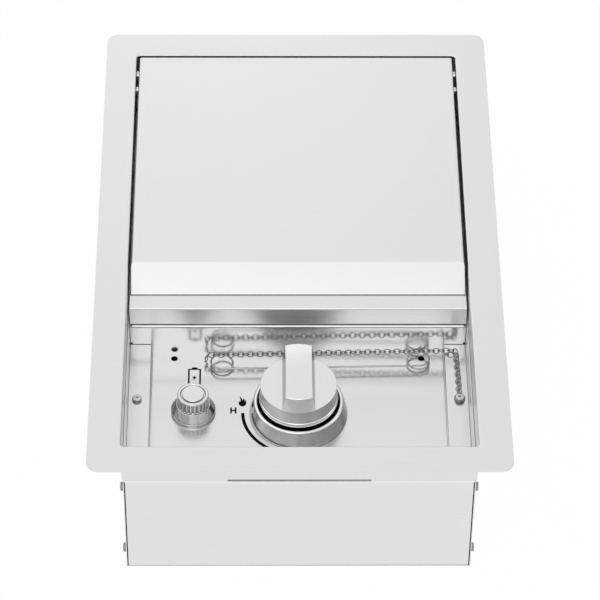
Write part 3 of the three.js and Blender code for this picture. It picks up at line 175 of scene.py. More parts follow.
# %% Lamps
LAMPS_AIM = Vector((0, 0, 0.1))
for name, place, size, brightness in (
    ("front_soft_box", (-0.35, -2.6, 2.65), 2.0, 0.62), ("back_soft_box", (-0.1, 3.0, 2.2), 0.8, 0.26),
    ("left_soft_box", (-2.4, 0.3, 1.2), 1.2, 0.9), ("right_soft_box", (2.4, 0.1, 1.5), 1.0, 0.7),
):
    bpy.ops.object.light_add(type="AREA", location=place)
    lamp = bpy.context.object
    lamp.name = name
    lamp.data.shape, lamp.data.size = "SQUARE", size
    lamp.data.energy = brightness * math.pi * size ** 2
    lamp.rotation_euler = (LAMPS_AIM - Vector(place)).to_track_quat("-Z", "Y").to_euler()
    print(name, round(lamp.data.energy, 2), "W")

# %% [markdown]
# Sheet steel is brushed: fine parallel lines, each a little lighter or darker and a little rougher
# than the next, over soft marks where hands and cloths have been. Both effects serve many finishes,
# so each is a shader group. The lines are noise that is stretched a hundredfold along one direction.

# %% Groups for brushed lines and soft marks
def group(name, output, *inputs):
    tree = bpy.data.node_groups.new(name, "ShaderNodeTree")
    tree.interface.new_socket("Vector", in_out="INPUT", socket_type="NodeSocketVector")
    for title, value in inputs:
        socket = tree.interface.new_socket(title, in_out="INPUT", socket_type="NodeSocketFloat")
        socket.default_value = value
    tree.interface.new_socket(output, in_out="OUTPUT", socket_type="NodeSocketFloat")
    return tree, tree.nodes.new("NodeGroupInput").outputs, tree.nodes.new("NodeGroupOutput").inputs


def noise(tree, vector, scale, detail=2.0, roughness=0.5):
    return node(
        tree, "ShaderNodeTexNoise", Vector=vector, Scale=scale, Detail=detail, Roughness=roughness,
    ).outputs["Fac"]


def between(tree, share, first, second):
    return node(tree, "ShaderNodeMix", {"data_type": "FLOAT"}, _0=share, _2=first, _3=second).outputs[0]


COARSE_SCALE, COARSE_SHARE = 0.31, 0.35

brushed_lines, given, results = group("brushed_lines", "Lines", ("Fineness", 1.0))
fine = noise(brushed_lines, given["Vector"], given["Fineness"], 3.0, 0.65)
coarse_scale = maths(brushed_lines, "MULTIPLY", given["Fineness"], COARSE_SCALE)
coarse = noise(brushed_lines, given["Vector"], coarse_scale)
brushed_lines.links.new(between(brushed_lines, COARSE_SHARE, fine, coarse), results["Lines"])

soft_marks, given, results = group("soft_marks", "Marks", ("Scale", 20.0))
soft_marks.links.new(noise(soft_marks, given["Vector"], given["Scale"], 4.0, 0.6), results["Marks"])
print("groups:", [g.name for g in bpy.data.node_groups])

# %% [markdown]
# A turned piece, such as the knob, is brushed in circles. Its lines depend on the distance from its
# axis and on the height, and not on the angle, so this group turns a place into those two measures.

# %% Group for turned lines
def split(tree, place):
    parts = node(tree, "ShaderNodeSeparateXYZ", Vector=place).outputs
    return node(tree, "ShaderNodeCombineXYZ", X=parts["X"], Y=parts["Y"]).outputs[0], parts["Z"]


turned_lines, given, results = group("turned_lines", "Lines", ("Fineness", 1800.0))
flat, height = split(turned_lines, given["Vector"])
radius = node(turned_lines, "ShaderNodeVectorMath", {"operation": "LENGTH"}, _0=flat).outputs["Value"]
across = node(turned_lines, "ShaderNodeCombineXYZ", X=radius, Y=height).outputs[0]
turned_lines.links.new(noise(turned_lines, across, given["Fineness"]), results["Lines"])
print("turned lines:", len(turned_lines.nodes), "nodes")

# %% [markdown]
# This group paints bands of light and shade into the colour of a turned finish, spreading from the
# axis. It makes them from noise by heading alone, and mixes in one wide painted highlight towards the
# front lamp and one across from it, so that each turned finish can choose how even or how streaked it
# looks.

# %% Group for bands of light
LIT_SIDE, LOBE_SHARPNESS = (-0.38, -0.925, 0), 1.5

light_bands, given, results = group("light_bands", "Bands", ("Count", 3.0), ("Lobe", 0.5))
flat, height = split(light_bands, given["Vector"])
heading = node(light_bands, "ShaderNodeVectorMath", {"operation": "NORMALIZE"}, _0=flat).outputs[0]
facing = node(light_bands, "ShaderNodeVectorMath", {"operation": "DOT_PRODUCT"}, _0=heading, _1=LIT_SIDE)
towards_lamp = maths(light_bands, "ABSOLUTE", facing.outputs["Value"])
lobe = maths(light_bands, "POWER", towards_lamp, LOBE_SHARPNESS)
streaks = noise(light_bands, heading, given["Count"], 3.0, 0.6)
light_bands.links.new(between(light_bands, given["Lobe"], streaks, lobe), results["Bands"])
print("bands:", len(light_bands.nodes), "nodes")

# %% [markdown]
# Every steel in the burner is the same recipe with other numbers: the colour of the metal, how rough
# it is, how deep its lines are and which way they run. So one function makes the brushed ones and one
# the turned ones. The Principled BSDF stays in the material, and the groups only feed its colour,
# roughness and normal.

# %% Steel finishes
def finish(name, colour, roughness, metallic=1.0, **shader_settings):
    made = bpy.data.materials.new(name)
    made.use_nodes = True
    tree = made.node_tree
    shader = tree.nodes["Principled BSDF"]
    shader.inputs["Base Color"].default_value = (*colour, 1)
    shader.inputs["Roughness"].default_value = roughness
    shader.inputs["Metallic"].default_value = metallic
    for key, value in shader_settings.items():
        shader.inputs[key.replace("_", " ")].default_value = value
    return made, tree, shader


def placed(tree, scale=(1, 1, 1), centre=(0, 0, 0)):
    place = node(tree, "ShaderNodeTexCoord").outputs["Object"]
    moved = node(tree, "ShaderNodeVectorMath", {"operation": "SUBTRACT"}, _0=place, _1=centre).outputs[0]
    return node(tree, "ShaderNodeVectorMath", {"operation": "MULTIPLY"}, _0=moved, _1=scale).outputs[0]


def pattern(tree, effect, **sockets):
    return node(tree, "ShaderNodeGroup", {"node_tree": effect}, **sockets).outputs[0]


def vary(tree, shader, mask, colour, contrast, roughness, swing):
    dark = [channel * (1 - contrast) for channel in colour]
    light = [min(1, channel * (1 + contrast)) for channel in colour]
    tint = node(tree, "ShaderNodeMix", {"data_type": "RGBA"}, _0=mask, _6=(*dark, 1), _7=(*light, 1))
    tree.links.new(tint.outputs[2], shader.inputs["Base Color"])
    spread = node(
        tree, "ShaderNodeMapRange", _0=mask, _1=0.25, _2=0.75, _3=roughness - swing, _4=roughness + swing,
    )
    tree.links.new(spread.outputs[0], shader.inputs["Roughness"])


def bump(tree, shader, height, depth):
    made = node(tree, "ShaderNodeBump", Height=height, Distance=depth * MM, Strength=1.0)
    tree.links.new(made.outputs[0], shader.inputs["Normal"])


ALONG_X, ALONG_Y = (0.012, 1, 1), (1, 0.012, 1)
LINE_FINENESS, MARK_SCALE, MARK_SHARE, ROUGHNESS_SWING = 1500.0, 14.0, 0.25, 0.2


def brushed_steel(name, colour, roughness, direction, contrast=0.03, depth=0.004):
    made, tree, shader = finish(name, colour, roughness)
    lines = pattern(tree, brushed_lines, Vector=placed(tree, direction), Fineness=LINE_FINENESS)
    marks = pattern(tree, soft_marks, Vector=placed(tree), Scale=MARK_SCALE)
    mask = between(tree, MARK_SHARE, lines, marks)
    vary(tree, shader, mask, colour, contrast, roughness, roughness * ROUGHNESS_SWING)
    bump(tree, shader, lines, depth)
    return made


def turned_steel(name, colour, roughness, centre, contrast=0.03, depth=0.003, banding=0.2, lobe=0):
    made, tree, shader = finish(name, colour, roughness)
    lines = pattern(tree, turned_lines, Vector=placed(tree, centre=centre))
    # The bands are painted light and shade; banding sets how much of the colour they make.
    bands = pattern(tree, light_bands, Vector=placed(tree, centre=centre), Lobe=lobe)
    mask = between(tree, banding, lines, bands)
    vary(tree, shader, mask, colour, contrast, roughness, roughness * ROUGHNESS_SWING)
    bump(tree, shader, lines, depth)
    return made

# %% [markdown]
# The colours were matched to the photograph face by face. The knob and the igniter are turned about
# their own axes, which the solids give, and some of their faces get painted shade and painted bands of
# light.

# %% The steels
def centre_of(name):
    low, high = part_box(name)
    return (low + high) / 2


knob_axis, igniter_axis = centre_of("knob_bezel"), centre_of("igniter_bezel")
frame_steel = brushed_steel("brushed_frame_steel", (0.752, 0.755, 0.76), 0.3, ALONG_X)
# A painted highlight for the bright strip on the skirt's front.
highlight_strip = brushed_steel("skirt_front_painted_highlight", (0.97, 0.97, 0.97), 0.3, ALONG_X)
lid_steel = brushed_steel("brushed_lid_steel", (0.765, 0.765, 0.77), 0.3, ALONG_X)
wall_steel = brushed_steel("brushed_wall_steel", (0.69, 0.69, 0.695), 0.18, ALONG_X, 0.02, 0.0003)
recess_steel = brushed_steel("brushed_recess_steel", (0.75, 0.75, 0.755), 0.23, ALONG_X, 0.015, 0.0002)
body_steel = brushed_steel("brushed_body_steel", (0.77, 0.773, 0.78), 0.3, ALONG_X)
side_steel = brushed_steel("brushed_side_steel", (0.76, 0.765, 0.775), 0.3, ALONG_Y)
knob_steel = turned_steel("turned_knob_steel", (0.765, 0.765, 0.765), 0.22, knob_axis)
# Painted shade and painted bands of light for the knob's round side.
knob_side_light_and_shade = turned_steel(
    "coarse_turned_steel", (0.44, 0.44, 0.445), 0.2, knob_axis, 0.7, 0.004, 0.9, 0.7,
)
# A painted highlight for the front of the knob's bar.
bar_front_highlight = turned_steel("bar_front_painted_highlight", (0.86, 0.86, 0.865), 0.2, knob_axis, 0.3, 0.004, 0.9, 0.6)
# Painted shade for the bar's slanting flanks.
shaded_flank_finish = turned_steel("flank_painted_shade", (0.14, 0.14, 0.145), 0.2, knob_axis, 0.2, 0.004)
# The bezel's finish has painted bands of light and shade.
banded_bezel_finish = turned_steel(
    "bezel_with_painted_bands", (0.68, 0.68, 0.69), 0.17, knob_axis, 1.0, 0.004, 0.9, 0.75,
)
# A painted highlight for polished rims and edges.
lip_highlight = turned_steel("lip_painted_highlight", (0.86, 0.86, 0.86), 0.12, knob_axis)
igniter_steel = turned_steel("turned_igniter_steel", (0.76, 0.76, 0.76), 0.16, igniter_axis)
# Painted shade and painted streaks for the button's flutes.
shaded_flute_finish = turned_steel("flutes_painted_shade", (0.62, 0.62, 0.625), 0.14, igniter_axis, 0.5, 0.003, 0.7)
# Painted shade for the button's grooves.
shaded_groove_finish = turned_steel("grooves_painted_shade", (0.27, 0.27, 0.27), 0.2, igniter_axis, 0.3)
# The cone's finish has painted bands of light and shade.
banded_cone_finish = turned_steel(
    "cone_with_painted_bands", (0.76, 0.76, 0.77), 0.12, igniter_axis, 0.7, 0.003, 0.9, 0.4,
)
print("steels:", len(bpy.data.materials))

# %% [markdown]
# The small hardware is nickel-plated or zinc-plated, the valve is turned brass, and the burner and its
# grate are cast and enamelled black. Each gets its own small variation: spangled patches on zinc,
# a pebbled skin on castings, faint clouds on moulded plastic.

# %% Other finishes
def plated(name, colour, roughness, scale=60.0):
    made, tree, shader = finish(name, colour, roughness)
    marks = pattern(tree, soft_marks, Vector=placed(tree), Scale=scale)
    vary(tree, shader, marks, colour, 0.05, roughness, roughness * 0.25)
    return made


def zinc(name, colour, roughness):
    made, tree, shader = finish(name, colour, roughness)
    crystals = node(tree, "ShaderNodeTexVoronoi", {"feature": "F1"}, Vector=placed(tree), Scale=110.0)
    grey = node(tree, "ShaderNodeSeparateColor", Color=crystals.outputs["Color"])
    vary(tree, shader, grey.outputs["Red"], colour, 0.07, roughness, 0.06)
    bump(tree, shader, noise(tree, placed(tree), 900.0), 0.003)
    return made


def cast(name, colour, roughness):
    made, tree, shader = finish(name, colour, roughness, 0.0, Coat_Weight=0.25, Coat_Roughness=0.2)
    grain = noise(tree, placed(tree), 700.0, 4.0, 0.6)
    vary(tree, shader, grain, colour, 0.3, roughness, 0.1)
    bump(tree, shader, grain, 0.05)
    return made


def moulded(name, colour, roughness, depth=0.01, gloss=0.5):
    made, tree, shader = finish(name, colour, roughness, 0.0, Specular_IOR_Level=gloss)
    marks = pattern(tree, soft_marks, Vector=placed(tree), Scale=90.0)
    vary(tree, shader, marks, colour, 0.08, roughness, 0.06)
    bump(tree, shader, noise(tree, placed(tree), 1400.0), depth)
    return made


nickel = plated("plated_nickel", (0.6, 0.6, 0.6), 0.1)
# The chain's own dark steel, also used as painted shade on the flanks of the screw heads.
chain_steel = plated("chain_steel", (0.3, 0.3, 0.305), 0.16, 200.0)
wire_steel = plated("drawn_wire_steel", (0.48, 0.48, 0.485), 0.16, 150.0)
zinc_sheet = zinc("zinc_coated_sheet", (0.6, 0.62, 0.63), 0.38)
brass = plated("turned_brass", (0.72, 0.5, 0.2), 0.26, 80.0)
enamel = cast("black_enamel_casting", (0.018, 0.018, 0.019), 0.42)
black_plastic = moulded("black_moulded_plastic", (0.012, 0.012, 0.013), 0.45)
porcelain = moulded("glazed_porcelain", (0.86, 0.85, 0.8), 0.2, 0.004)
silicone = moulded("red_silicone_sleeve", (0.36, 0.03, 0.02), 0.5)
cell_wrap = moulded("printed_cell_wrap", (0.06, 0.1, 0.16), 0.3, 0.002)
ink = moulded("black_printed_ink", (0.002, 0.002, 0.002), 0.7, 0.003, 0.1)
# Black painted shade, for the bezel's inside, the slot's edges and the strip behind the slot.
shade_black = moulded("painted_shade_black", (0.002, 0.002, 0.002), 0.8, 0.006, 0.1)
print("finishes:", [m.name for m in bpy.data.materials])

# %% [markdown]
# Many pieces of the burner are round or folded, and the solids hold them with few faces. They are
# modelled anew here as by hand: a simple shape is added, shaped in edit mode and finished with
# modifiers. A script has no mouse, so the first helpers choose the pieces to work on, and pick their
# points, edges or faces by where they lie. They are given the place in millimetres.

# %% Helpers for choosing
def only(*pieces):
    bpy.ops.object.select_all(action="DESELECT")
    for piece in pieces:
        piece.select_set(True)
    bpy.context.view_layer.objects.active = pieces[0]


@contextmanager
def editing(piece):
    only(piece)
    bpy.ops.object.mode_set(mode="EDIT")
    bpy.ops.mesh.select_mode(type="VERT")
    bpy.ops.mesh.select_all(action="SELECT")
    yield
    bpy.ops.object.mode_set(mode="OBJECT")


def pick(kind, test):
    bpy.ops.mesh.select_mode(type=kind)
    bpy.ops.mesh.select_all(action="DESELECT")
    mesh = bmesh.from_edit_mesh(bpy.context.object.data)
    for part in {"VERT": mesh.verts, "EDGE": mesh.edges, "FACE": mesh.faces}[kind]:
        corners = [part] if kind == "VERT" else part.verts
        middle = sum((corner.co for corner in corners), Vector()) / len(corners)
        if test(middle / MM, part):
            part.select_set(True)
    mesh.select_flush_mode()
    bmesh.update_edit_mesh(bpy.context.object.data)


def corners_of(name):
    return [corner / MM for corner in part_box(name)]

# %% [markdown]
# Pieces come and go while the burner is built: a shape is added with a name, several shapes become
# one piece, a cutter is thrown away, and a finished shape gets its place written into its mesh.

# %% Helpers for adding and joining
def added(name, primitive, **settings):
    bpy.ops.object.select_all(action="DESELECT")
    primitive(**settings)
    piece = bpy.context.object
    piece.name = piece.data.name = name
    return piece


def joined(name, pieces):
    only(*pieces)
    bpy.ops.object.join()
    pieces[0].name = pieces[0].data.name = name
    return pieces[0]


def removed(piece):
    only(piece)
    bpy.ops.object.delete()


def fixed(piece):
    only(piece)
    bpy.ops.object.transform_apply(location=True, rotation=True, scale=True)
    return piece


# %% [markdown]
# Edges are never quite sharp on a real piece, and the thin highlight along them is what makes metal
# look like metal. So each piece ends with a small bevel, smooth shading and a Weighted Normal, which
# keeps its flat faces flat. Then it gets its finish and its body, and on some faces a second finish,
# which mostly paints light and shade into them. Holes are cut by Boolean, with a cutter that goes away
# afterwards.

# %% Helpers for finishing
def modified(piece, kind, **settings):
    only(piece)
    made = piece.modifiers.new(kind.lower(), kind)
    for key, value in settings.items():
        setattr(made, key, value)
    bpy.ops.object.modifier_apply(modifier=made.name)


def softened(piece, width, segments=3, angle=35):
    limit = math.radians(angle)
    modified(piece, "BEVEL", width=width * MM, segments=segments, limit_method="ANGLE", angle_limit=limit)
    bpy.ops.object.shade_smooth_by_angle(angle=limit)
    modified(piece, "WEIGHTED_NORMAL", weight=95, keep_sharp=True)
    return piece


def cut_by(cutter, piece):
    modified(piece, "BOOLEAN", object=cutter, operation="DIFFERENCE", solver="EXACT")
    removed(cutter)


def settled(piece, body, slot, finish, *stands_for):
    fixed(piece)
    piece.data.materials.clear()
    piece.data.materials.append(finish)
    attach(piece, body)
    if stands_for:
        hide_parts(*stands_for)
    print(piece.name, len(piece.data.polygons), "faces")


def painted(piece, finish, test):
    piece.data.materials.append(finish)
    with editing(piece):
        pick("FACE", test)
        piece.active_material_index = len(piece.data.materials) - 1
        bpy.ops.object.material_slot_assign()


# %% [markdown]
# Turned pieces and bent wires both start as a drawn line. The line starts as a tiny plane that is
# merged into one point, which is then moved and extruded from place to place. Spun round an upright
# axis it becomes a turned piece, and with a round bevel as a curve it becomes a wire.

# %% Helpers for turned pieces and wires
MERGE_DISTANCE = 0.002 * MM
QUARTER = math.pi / 2


def drawn(name, points):
    piece = added(name, bpy.ops.mesh.primitive_plane_add, size=MM)
    here = Vector()
    with editing(piece):
        bpy.ops.mesh.merge(type="CENTER")
        for index, point in enumerate(points):
            step = Vector(point) * MM - here
            if index:
                bpy.ops.mesh.extrude_vertices_move(TRANSFORM_OT_translate={"value": step})
            else:
                bpy.ops.transform.translate(value=step)
            here += step
    return piece


def merged():
    bpy.ops.mesh.select_all(action="SELECT")
    bpy.ops.mesh.remove_doubles(threshold=MERGE_DISTANCE)


def turned_outwards():
    bpy.ops.mesh.select_all(action="SELECT")
    bpy.ops.mesh.normals_make_consistent(inside=False)


def cleaned():
    merged()
    turned_outwards()


def arc(radius, height, size, first=0, last=QUARTER, steps=5):
    turns = [first + (last - first) * step / steps for step in range(steps + 1)]
    return [(radius + size * math.cos(turn), height + size * math.sin(turn)) for turn in turns]


def turned(name, profile, place=(0, 0, 0), steps=96, tilt=(0, 0, 0)):
    piece = drawn(name, [(radius, 0, height) for radius, height in profile])
    with editing(piece):
        bpy.ops.mesh.spin(steps=steps, angle=math.tau, center=(0, 0, 0), axis=(0, 0, 1))
        cleaned()
    piece.location = Vector(place) * MM
    piece.rotation_euler = tilt
    return piece


def wired(name, points, radius, resolution=3):
    piece = drawn(name, points)
    with editing(piece):
        merged()
    only(piece)
    bpy.ops.object.convert(target="CURVE")
    curve = bpy.context.object.data
    curve.bevel_depth, curve.bevel_resolution, curve.use_fill_caps = radius * MM, resolution, True
    bpy.ops.object.convert(target="MESH")
    bpy.ops.object.shade_smooth_by_angle(angle=math.radians(50))
    return bpy.context.object


# %% [markdown]
# The knob is turned steel, milled down on both sides to a grip bar that is narrower at its top. Its
# round foot and its bar are two turned shapes: the bar is a short cylinder with a slightly domed top,
# and two slanting cuts by bisect leave its middle. Millimetres are the easiest measure for such parts.

# %% Knob
KNOB_X, KNOB_Y, KNOB_Z = 0.0, -135.5, 97.0
KNOB_RADIUS, SHOULDER, KNOB_TOP = 31.7, 17.0, 34.9
FOOT_RADIUS, FOOT_TOP, HOLLOW_RADIUS, HOLLOW_TOP = 32.8, 3.6, 28.7, 13
BAR_TOP, BAR_FOOT = 10.8, 13.4
STEM_HOLE, STEM_DEPTH, HUB = 4.2, 15.3, 9
EDGE, DOME, OVERLAP = 1.2, 1.6, 0.5
knob_place = (KNOB_X, KNOB_Y, KNOB_Z)

knob = turned("knob_body", [
    (0, STEM_DEPTH), (STEM_HOLE, STEM_DEPTH), (STEM_HOLE, 0), (HUB, 0), (HUB, HOLLOW_TOP),
    (HOLLOW_RADIUS, HOLLOW_TOP), (HOLLOW_RADIUS, 0), (FOOT_RADIUS, 0), (FOOT_RADIUS, 2.2), (32.4, 3.2),
    (KNOB_RADIUS, FOOT_TOP), (KNOB_RADIUS, SHOULDER), (0, SHOULDER),
], knob_place, 128)
fixed(softened(knob, 0.35))

dome = arc(KNOB_RADIUS - EDGE, KNOB_TOP - DOME - EDGE, EDGE)
dome += [(KNOB_RADIUS * share, KNOB_TOP - DOME * share ** 2) for share in (0.8, 0.6, 0.4, 0.2, 0)]
bar_low = SHOULDER - OVERLAP
bar = fixed(turned("grip_bar", [(0, bar_low), (KNOB_RADIUS, bar_low), *dome], knob_place, 128))
slant = math.atan2(BAR_FOOT - BAR_TOP, KNOB_TOP - SHOULDER)
for side in (-1, 1):
    with editing(bar):
        bpy.ops.mesh.bisect(
            plane_co=Vector((side * BAR_FOOT, KNOB_Y, KNOB_Z + SHOULDER)) * MM,
            plane_no=(side * math.cos(slant), 0, math.sin(slant)), use_fill=True, clear_outer=True,
        )
with editing(bar):
    cleaned()
knob = joined("milled_knob", [knob, softened(bar, 0.35)])
settled(knob, "knob", "polished", knob_steel, "knob")

# %% [markdown]
# Each face of the knob gets painted light and shade in its colour: a darker round side with coarse
# rings and painted bands of light, a painted highlight on the front of the bar, painted shade on the
# slanting flanks, and a painted highlight on the rim at the foot and at the top. Faces are told apart
# by their distance from the axis, their height and their normal.

# %% The knob's faces
NEAR, TOP_RIM = 0.3, 31


def off_axis(place, axis_x, axis_y):
    return math.hypot(place.x - axis_x, place.y - axis_y)


def is_round_side(at):
    return off_axis(at, KNOB_X, KNOB_Y) > KNOB_RADIUS - NEAR


# Painted light and shade on the knob's faces, one finish after another.
painted(knob, knob_side_light_and_shade, lambda at, face: is_round_side(at) and abs(face.normal.z) < 0.5)
painted(knob, bar_front_highlight, lambda at, face: at.z > KNOB_Z + SHOULDER + 1 and face.normal.y < -0.8)
painted(knob, shaded_flank_finish, lambda at, face: (
    at.z > KNOB_Z + SHOULDER and abs(face.normal.x) > 0.9 and abs(face.normal.z) > 0.1
))
painted(knob, lip_highlight, lambda at, face: (
    at.z > KNOB_Z + TOP_RIM and face.normal.y < -0.2 and face.normal.z > 0.25
    or is_round_side(at) and at.z < KNOB_Z + FOOT_TOP + 0.1
))
print("faces of the knob by finish:", [
    sum(face.material_index == index for face in knob.data.polygons) for index in range(5)
])

# %% [markdown]
# A conical bezel stands round the knob like a low cup. Its lip is a round bead, and its inside is in
# deep shadow, which is painted in as black, so that a plain black ring shows round the knob. The lip is
# drawn as a half circle in the profile, the inner faces are picked for the painted shade, and the lip
# gets a painted highlight.

# %% Bezel
FLOOR_Z = 79.0
LIP_IN, LIP_OUT, LIP_TOP, LIP_LOW = 33.7, 37.5, 15.7, 14
BEZEL_RADIUS, BEZEL_BORE, BEZEL_FLOOR, BEZEL_GAP = 41, 9, 2.6, 0.3
lip_half = (LIP_OUT - LIP_IN) / 2
lip = arc(LIP_OUT - lip_half, LIP_TOP - lip_half, lip_half, math.radians(12), math.pi, 10)
bezel = turned("turned_bezel", [
    (BEZEL_BORE, 0), (BEZEL_RADIUS, 0), (BEZEL_RADIUS, 1), *lip, (LIP_IN, BEZEL_FLOOR),
    (BEZEL_BORE, BEZEL_FLOOR), (BEZEL_BORE, 0),
], (KNOB_X, KNOB_Y, FLOOR_Z + BEZEL_GAP), 128)
settled(softened(bezel, 0.25, 2), "base", "polished", banded_bezel_finish, "knob_bezel")
# The bezel's inside is painted shade, and its lip a painted highlight.
painted(bezel, shade_black, lambda at, face: (
    off_axis(at, KNOB_X, KNOB_Y) < LIP_IN + 0.05 and FLOOR_Z + 1 < at.z < FLOOR_Z + LIP_LOW + 0.2
))
painted(bezel, lip_highlight, lambda at, face: at.z > FLOOR_Z + LIP_LOW)

# %% [markdown]
# The igniter's button is a cap with a knurled side and a ring cut into its top, over a conical bezel.
# The knurl is 22 soft flutes. The cap is turned with six points to each flute, and each set of points
# is drawn towards the axis by its own share, which bends the straight side into waves.

# %% Igniter button
IGNITER_X, IGNITER_Y = igniter_axis.x / MM, igniter_axis.y / MM
FLUTES, FLUTE_SHARES = 22, (0, 0.35, 0.85, 1, 0.85, 0.35)
CAP_RADIUS, CAP_LOW, FLUTE_DEPTH, FLUTE_LOW, FLUTE_TOP = 13.0, 7, 0.6, 10.5, 19.7
post_low = corners_of("igniter_cap")[0].z - FLOOR_Z

button = turned("knurled_button", [
    (0, post_low), (5, post_low), (5, 18), (11.5, 18), (11.5, CAP_LOW), (CAP_RADIUS, CAP_LOW),
    (CAP_RADIUS, 10.2), (CAP_RADIUS, 10.7), (CAP_RADIUS, 19.5), (CAP_RADIUS, 19.9), *arc(11.9, 20.3, 1.1),
    (10.7, 21.3), (9.9, 20.4), (9.3, 20.4), (9.05, 21.75), (8.8, 22), (0, 22),
], steps=FLUTES * len(FLUTE_SHARES))
spacing = math.tau / FLUTES / len(FLUTE_SHARES)
for phase, share in enumerate(FLUTE_SHARES):
    with editing(button):
        pick("VERT", lambda at, point: (
            FLUTE_LOW < at.z < FLUTE_TOP and math.hypot(at.x, at.y) > CAP_RADIUS - 0.1
            and round(math.atan2(at.y, at.x) / spacing) % len(FLUTE_SHARES) == phase
        ))
        size = 1 - FLUTE_DEPTH * share / CAP_RADIUS
        bpy.ops.transform.resize(value=(size, size, 1), center_override=(0, 0, 0))
button.location = Vector((IGNITER_X, IGNITER_Y, FLOOR_Z)) * MM
only(button)
bpy.ops.object.shade_smooth_by_angle(angle=math.radians(32))
settled(button, "igniter_button", "polished", igniter_steel, "igniter_cap")

# %% [markdown]
# The flutes and the grooves of the button get painted shade, darker than its polished top. Its bezel is
# a plain cone with a rounded foot and painted bands of light, turned like the knob's bezel and seated on
# the panel in the same way.

# %% Faces of the button, and its bezel
GROOVE_IN, GROOVE_OUT, HOLLOW_IN, HOLLOW_LOW = 9, 9.35, 12, 11


def is_groove(at, face):
    reach, height = off_axis(at, IGNITER_X, IGNITER_Y), at.z - FLOOR_Z
    in_hollow = HOLLOW_IN < reach < CAP_RADIUS - NEAR and HOLLOW_LOW < height < 19.5
    return GROOVE_IN < reach < GROOVE_OUT or in_hollow


# Painted shade on the flutes and in the grooves.
painted(button, shaded_flute_finish, lambda at, face: abs(face.normal.z) < 0.3 and at.z < FLOOR_Z + FLUTE_TOP)
painted(button, shaded_groove_finish, is_groove)
cone = turned("igniter_cone", [
    (11.3, 0.3), (17.4, 0.3), (18.6, 1.4), (18.6, 3.2), (18.3, 3.8), (14.2, 9.8), (13.9, 10), (13.3, 10),
    (13.08, 9.8), (13.08, 2.9), (11.3, 2.9), (11.3, 0.3),
], (IGNITER_X, IGNITER_Y, FLOOR_Z))
# The cone's finish paints bands of light and shade.
settled(softened(cone, 0.25, 2), "base", "polished", banded_cone_finish, "igniter_bezel")

# %% [markdown]
# Ten pan-head screws hold the panels. Each has a cross cut into its domed head. The cross is a cutter
# of two thin blocks, taken out of the head by a Boolean. One screw of each length is modelled, and each
# screw is a copy of it with its own mesh, turned by its own angle as a fitter would leave it.

# %% Screws
BODY_SIDE, HEAD_RADIUS, HEAD_HEIGHT, SHANK = 143.0, 4, 2.5, 1.9
CROSS_LONG, CROSS_WIDE, CROSS_Z = 4.2, 0.8, 2.6


def crossed_screw(length):
    head = turned("screw_model", [
        (0, -length), (SHANK, -length), (SHANK, 0), (HEAD_RADIUS, 0), (HEAD_RADIUS, 0.8),
        *arc(2.6, 1.1, 1.4), (0, HEAD_HEIGHT),
    ], steps=48)
    for size in ((CROSS_LONG, CROSS_WIDE, CROSS_Z), (CROSS_WIDE, CROSS_LONG, CROSS_Z)):
        place = (0, 0, CROSS_Z * MM)
        cutter = added("cross_cutter", bpy.ops.mesh.primitive_cube_add, size=MM, location=place)
        with editing(cutter):
            bpy.ops.transform.resize(value=size)
            pick("FACE", lambda middle, face: face.normal.z < -0.9)
            bpy.ops.transform.resize(value=(0.6, 0.6, 1))
        cut_by(cutter, head)
    return softened(head, 0.12, 2)


def placed_copy(model, name, place, tilt=(0, 0, 0)):
    only(model)
    bpy.ops.object.duplicate()
    copy = bpy.context.object
    copy.name = copy.data.name = name
    copy.rotation_mode = "ZYX"
    copy.location, copy.rotation_euler = place, tilt
    return copy


side_model, panel_model = crossed_screw(2.2), crossed_screw(7.0)
turns = iter(math.radians(angle) for angle in (12, 48, 75, 20, 63, 5, 34, 81, 28, 56))
for node_name in (name for name in solids if "_screw_" in name):
    low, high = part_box(node_name)
    place = (low + high) / 2
    if node_name.startswith("side"):
        side = math.copysign(1, place.x)
        model, axis, place.x, tilt = side_model, 0, side * BODY_SIDE * MM, side * QUARTER
    else:
        model, axis, place.z, tilt = panel_model, 2, high.z - HEAD_HEIGHT * MM, 0
    copy = placed_copy(model, f"pan_{node_name}", place, (0, tilt, next(turns)))
    settled(copy, "base", "polished", nickel, node_name)
    # The flanks of each screw head get painted shade.
    painted(copy, chain_steel, lambda at, face: abs(face.normal[axis]) < 0.8)
removed(side_model)
removed(panel_model)

# %% [markdown]
# The match holder is one steel wire. Its ends are wound down into open coils, which stand on the
# floor of the recess and carry the straight middle above it. The line is worked out turn by turn, and
# the same helper as before makes it a round wire.

# %% Match holder
HOLDER_HALF, COIL_RADIUS, COIL_DROP, COIL_TURNS, COIL_STEPS = 83.05, 9.2, 5.44, 1.25, 60
HOLDER_PLACE, HOLDER_TURN, HOLDER_WIRE = Vector((19.0, -89.3, 80.05)), math.radians(1.2), 0.75


def coil_point(side, share):
    turn = side * share * COIL_TURNS * math.tau - QUARTER
    return (
        side * HOLDER_HALF + COIL_RADIUS * math.cos(turn), COIL_RADIUS * (1 + math.sin(turn)),
        COIL_DROP * (1 - share),
    )


shares = [step / COIL_STEPS for step in range(COIL_STEPS + 1)]
line = [coil_point(-1, share) for share in reversed(shares)] + [coil_point(1, share) for share in shares]
holder = wired("match_wire", line, HOLDER_WIRE)
holder.location, holder.rotation_euler = HOLDER_PLACE * MM, (0, 0, HOLDER_TURN)
settled(holder, "base", "polished", wire_steel, "match_holder")

# %% [markdown]
# The chain holds the match holder, so that it can't get lost. It hangs by a ring on the right ledge's
# screw, lies along the ledge and crosses to the holder's left coil. Its path has rounded corners, and
# it is divided into even steps, so that the links are all the same distance apart.

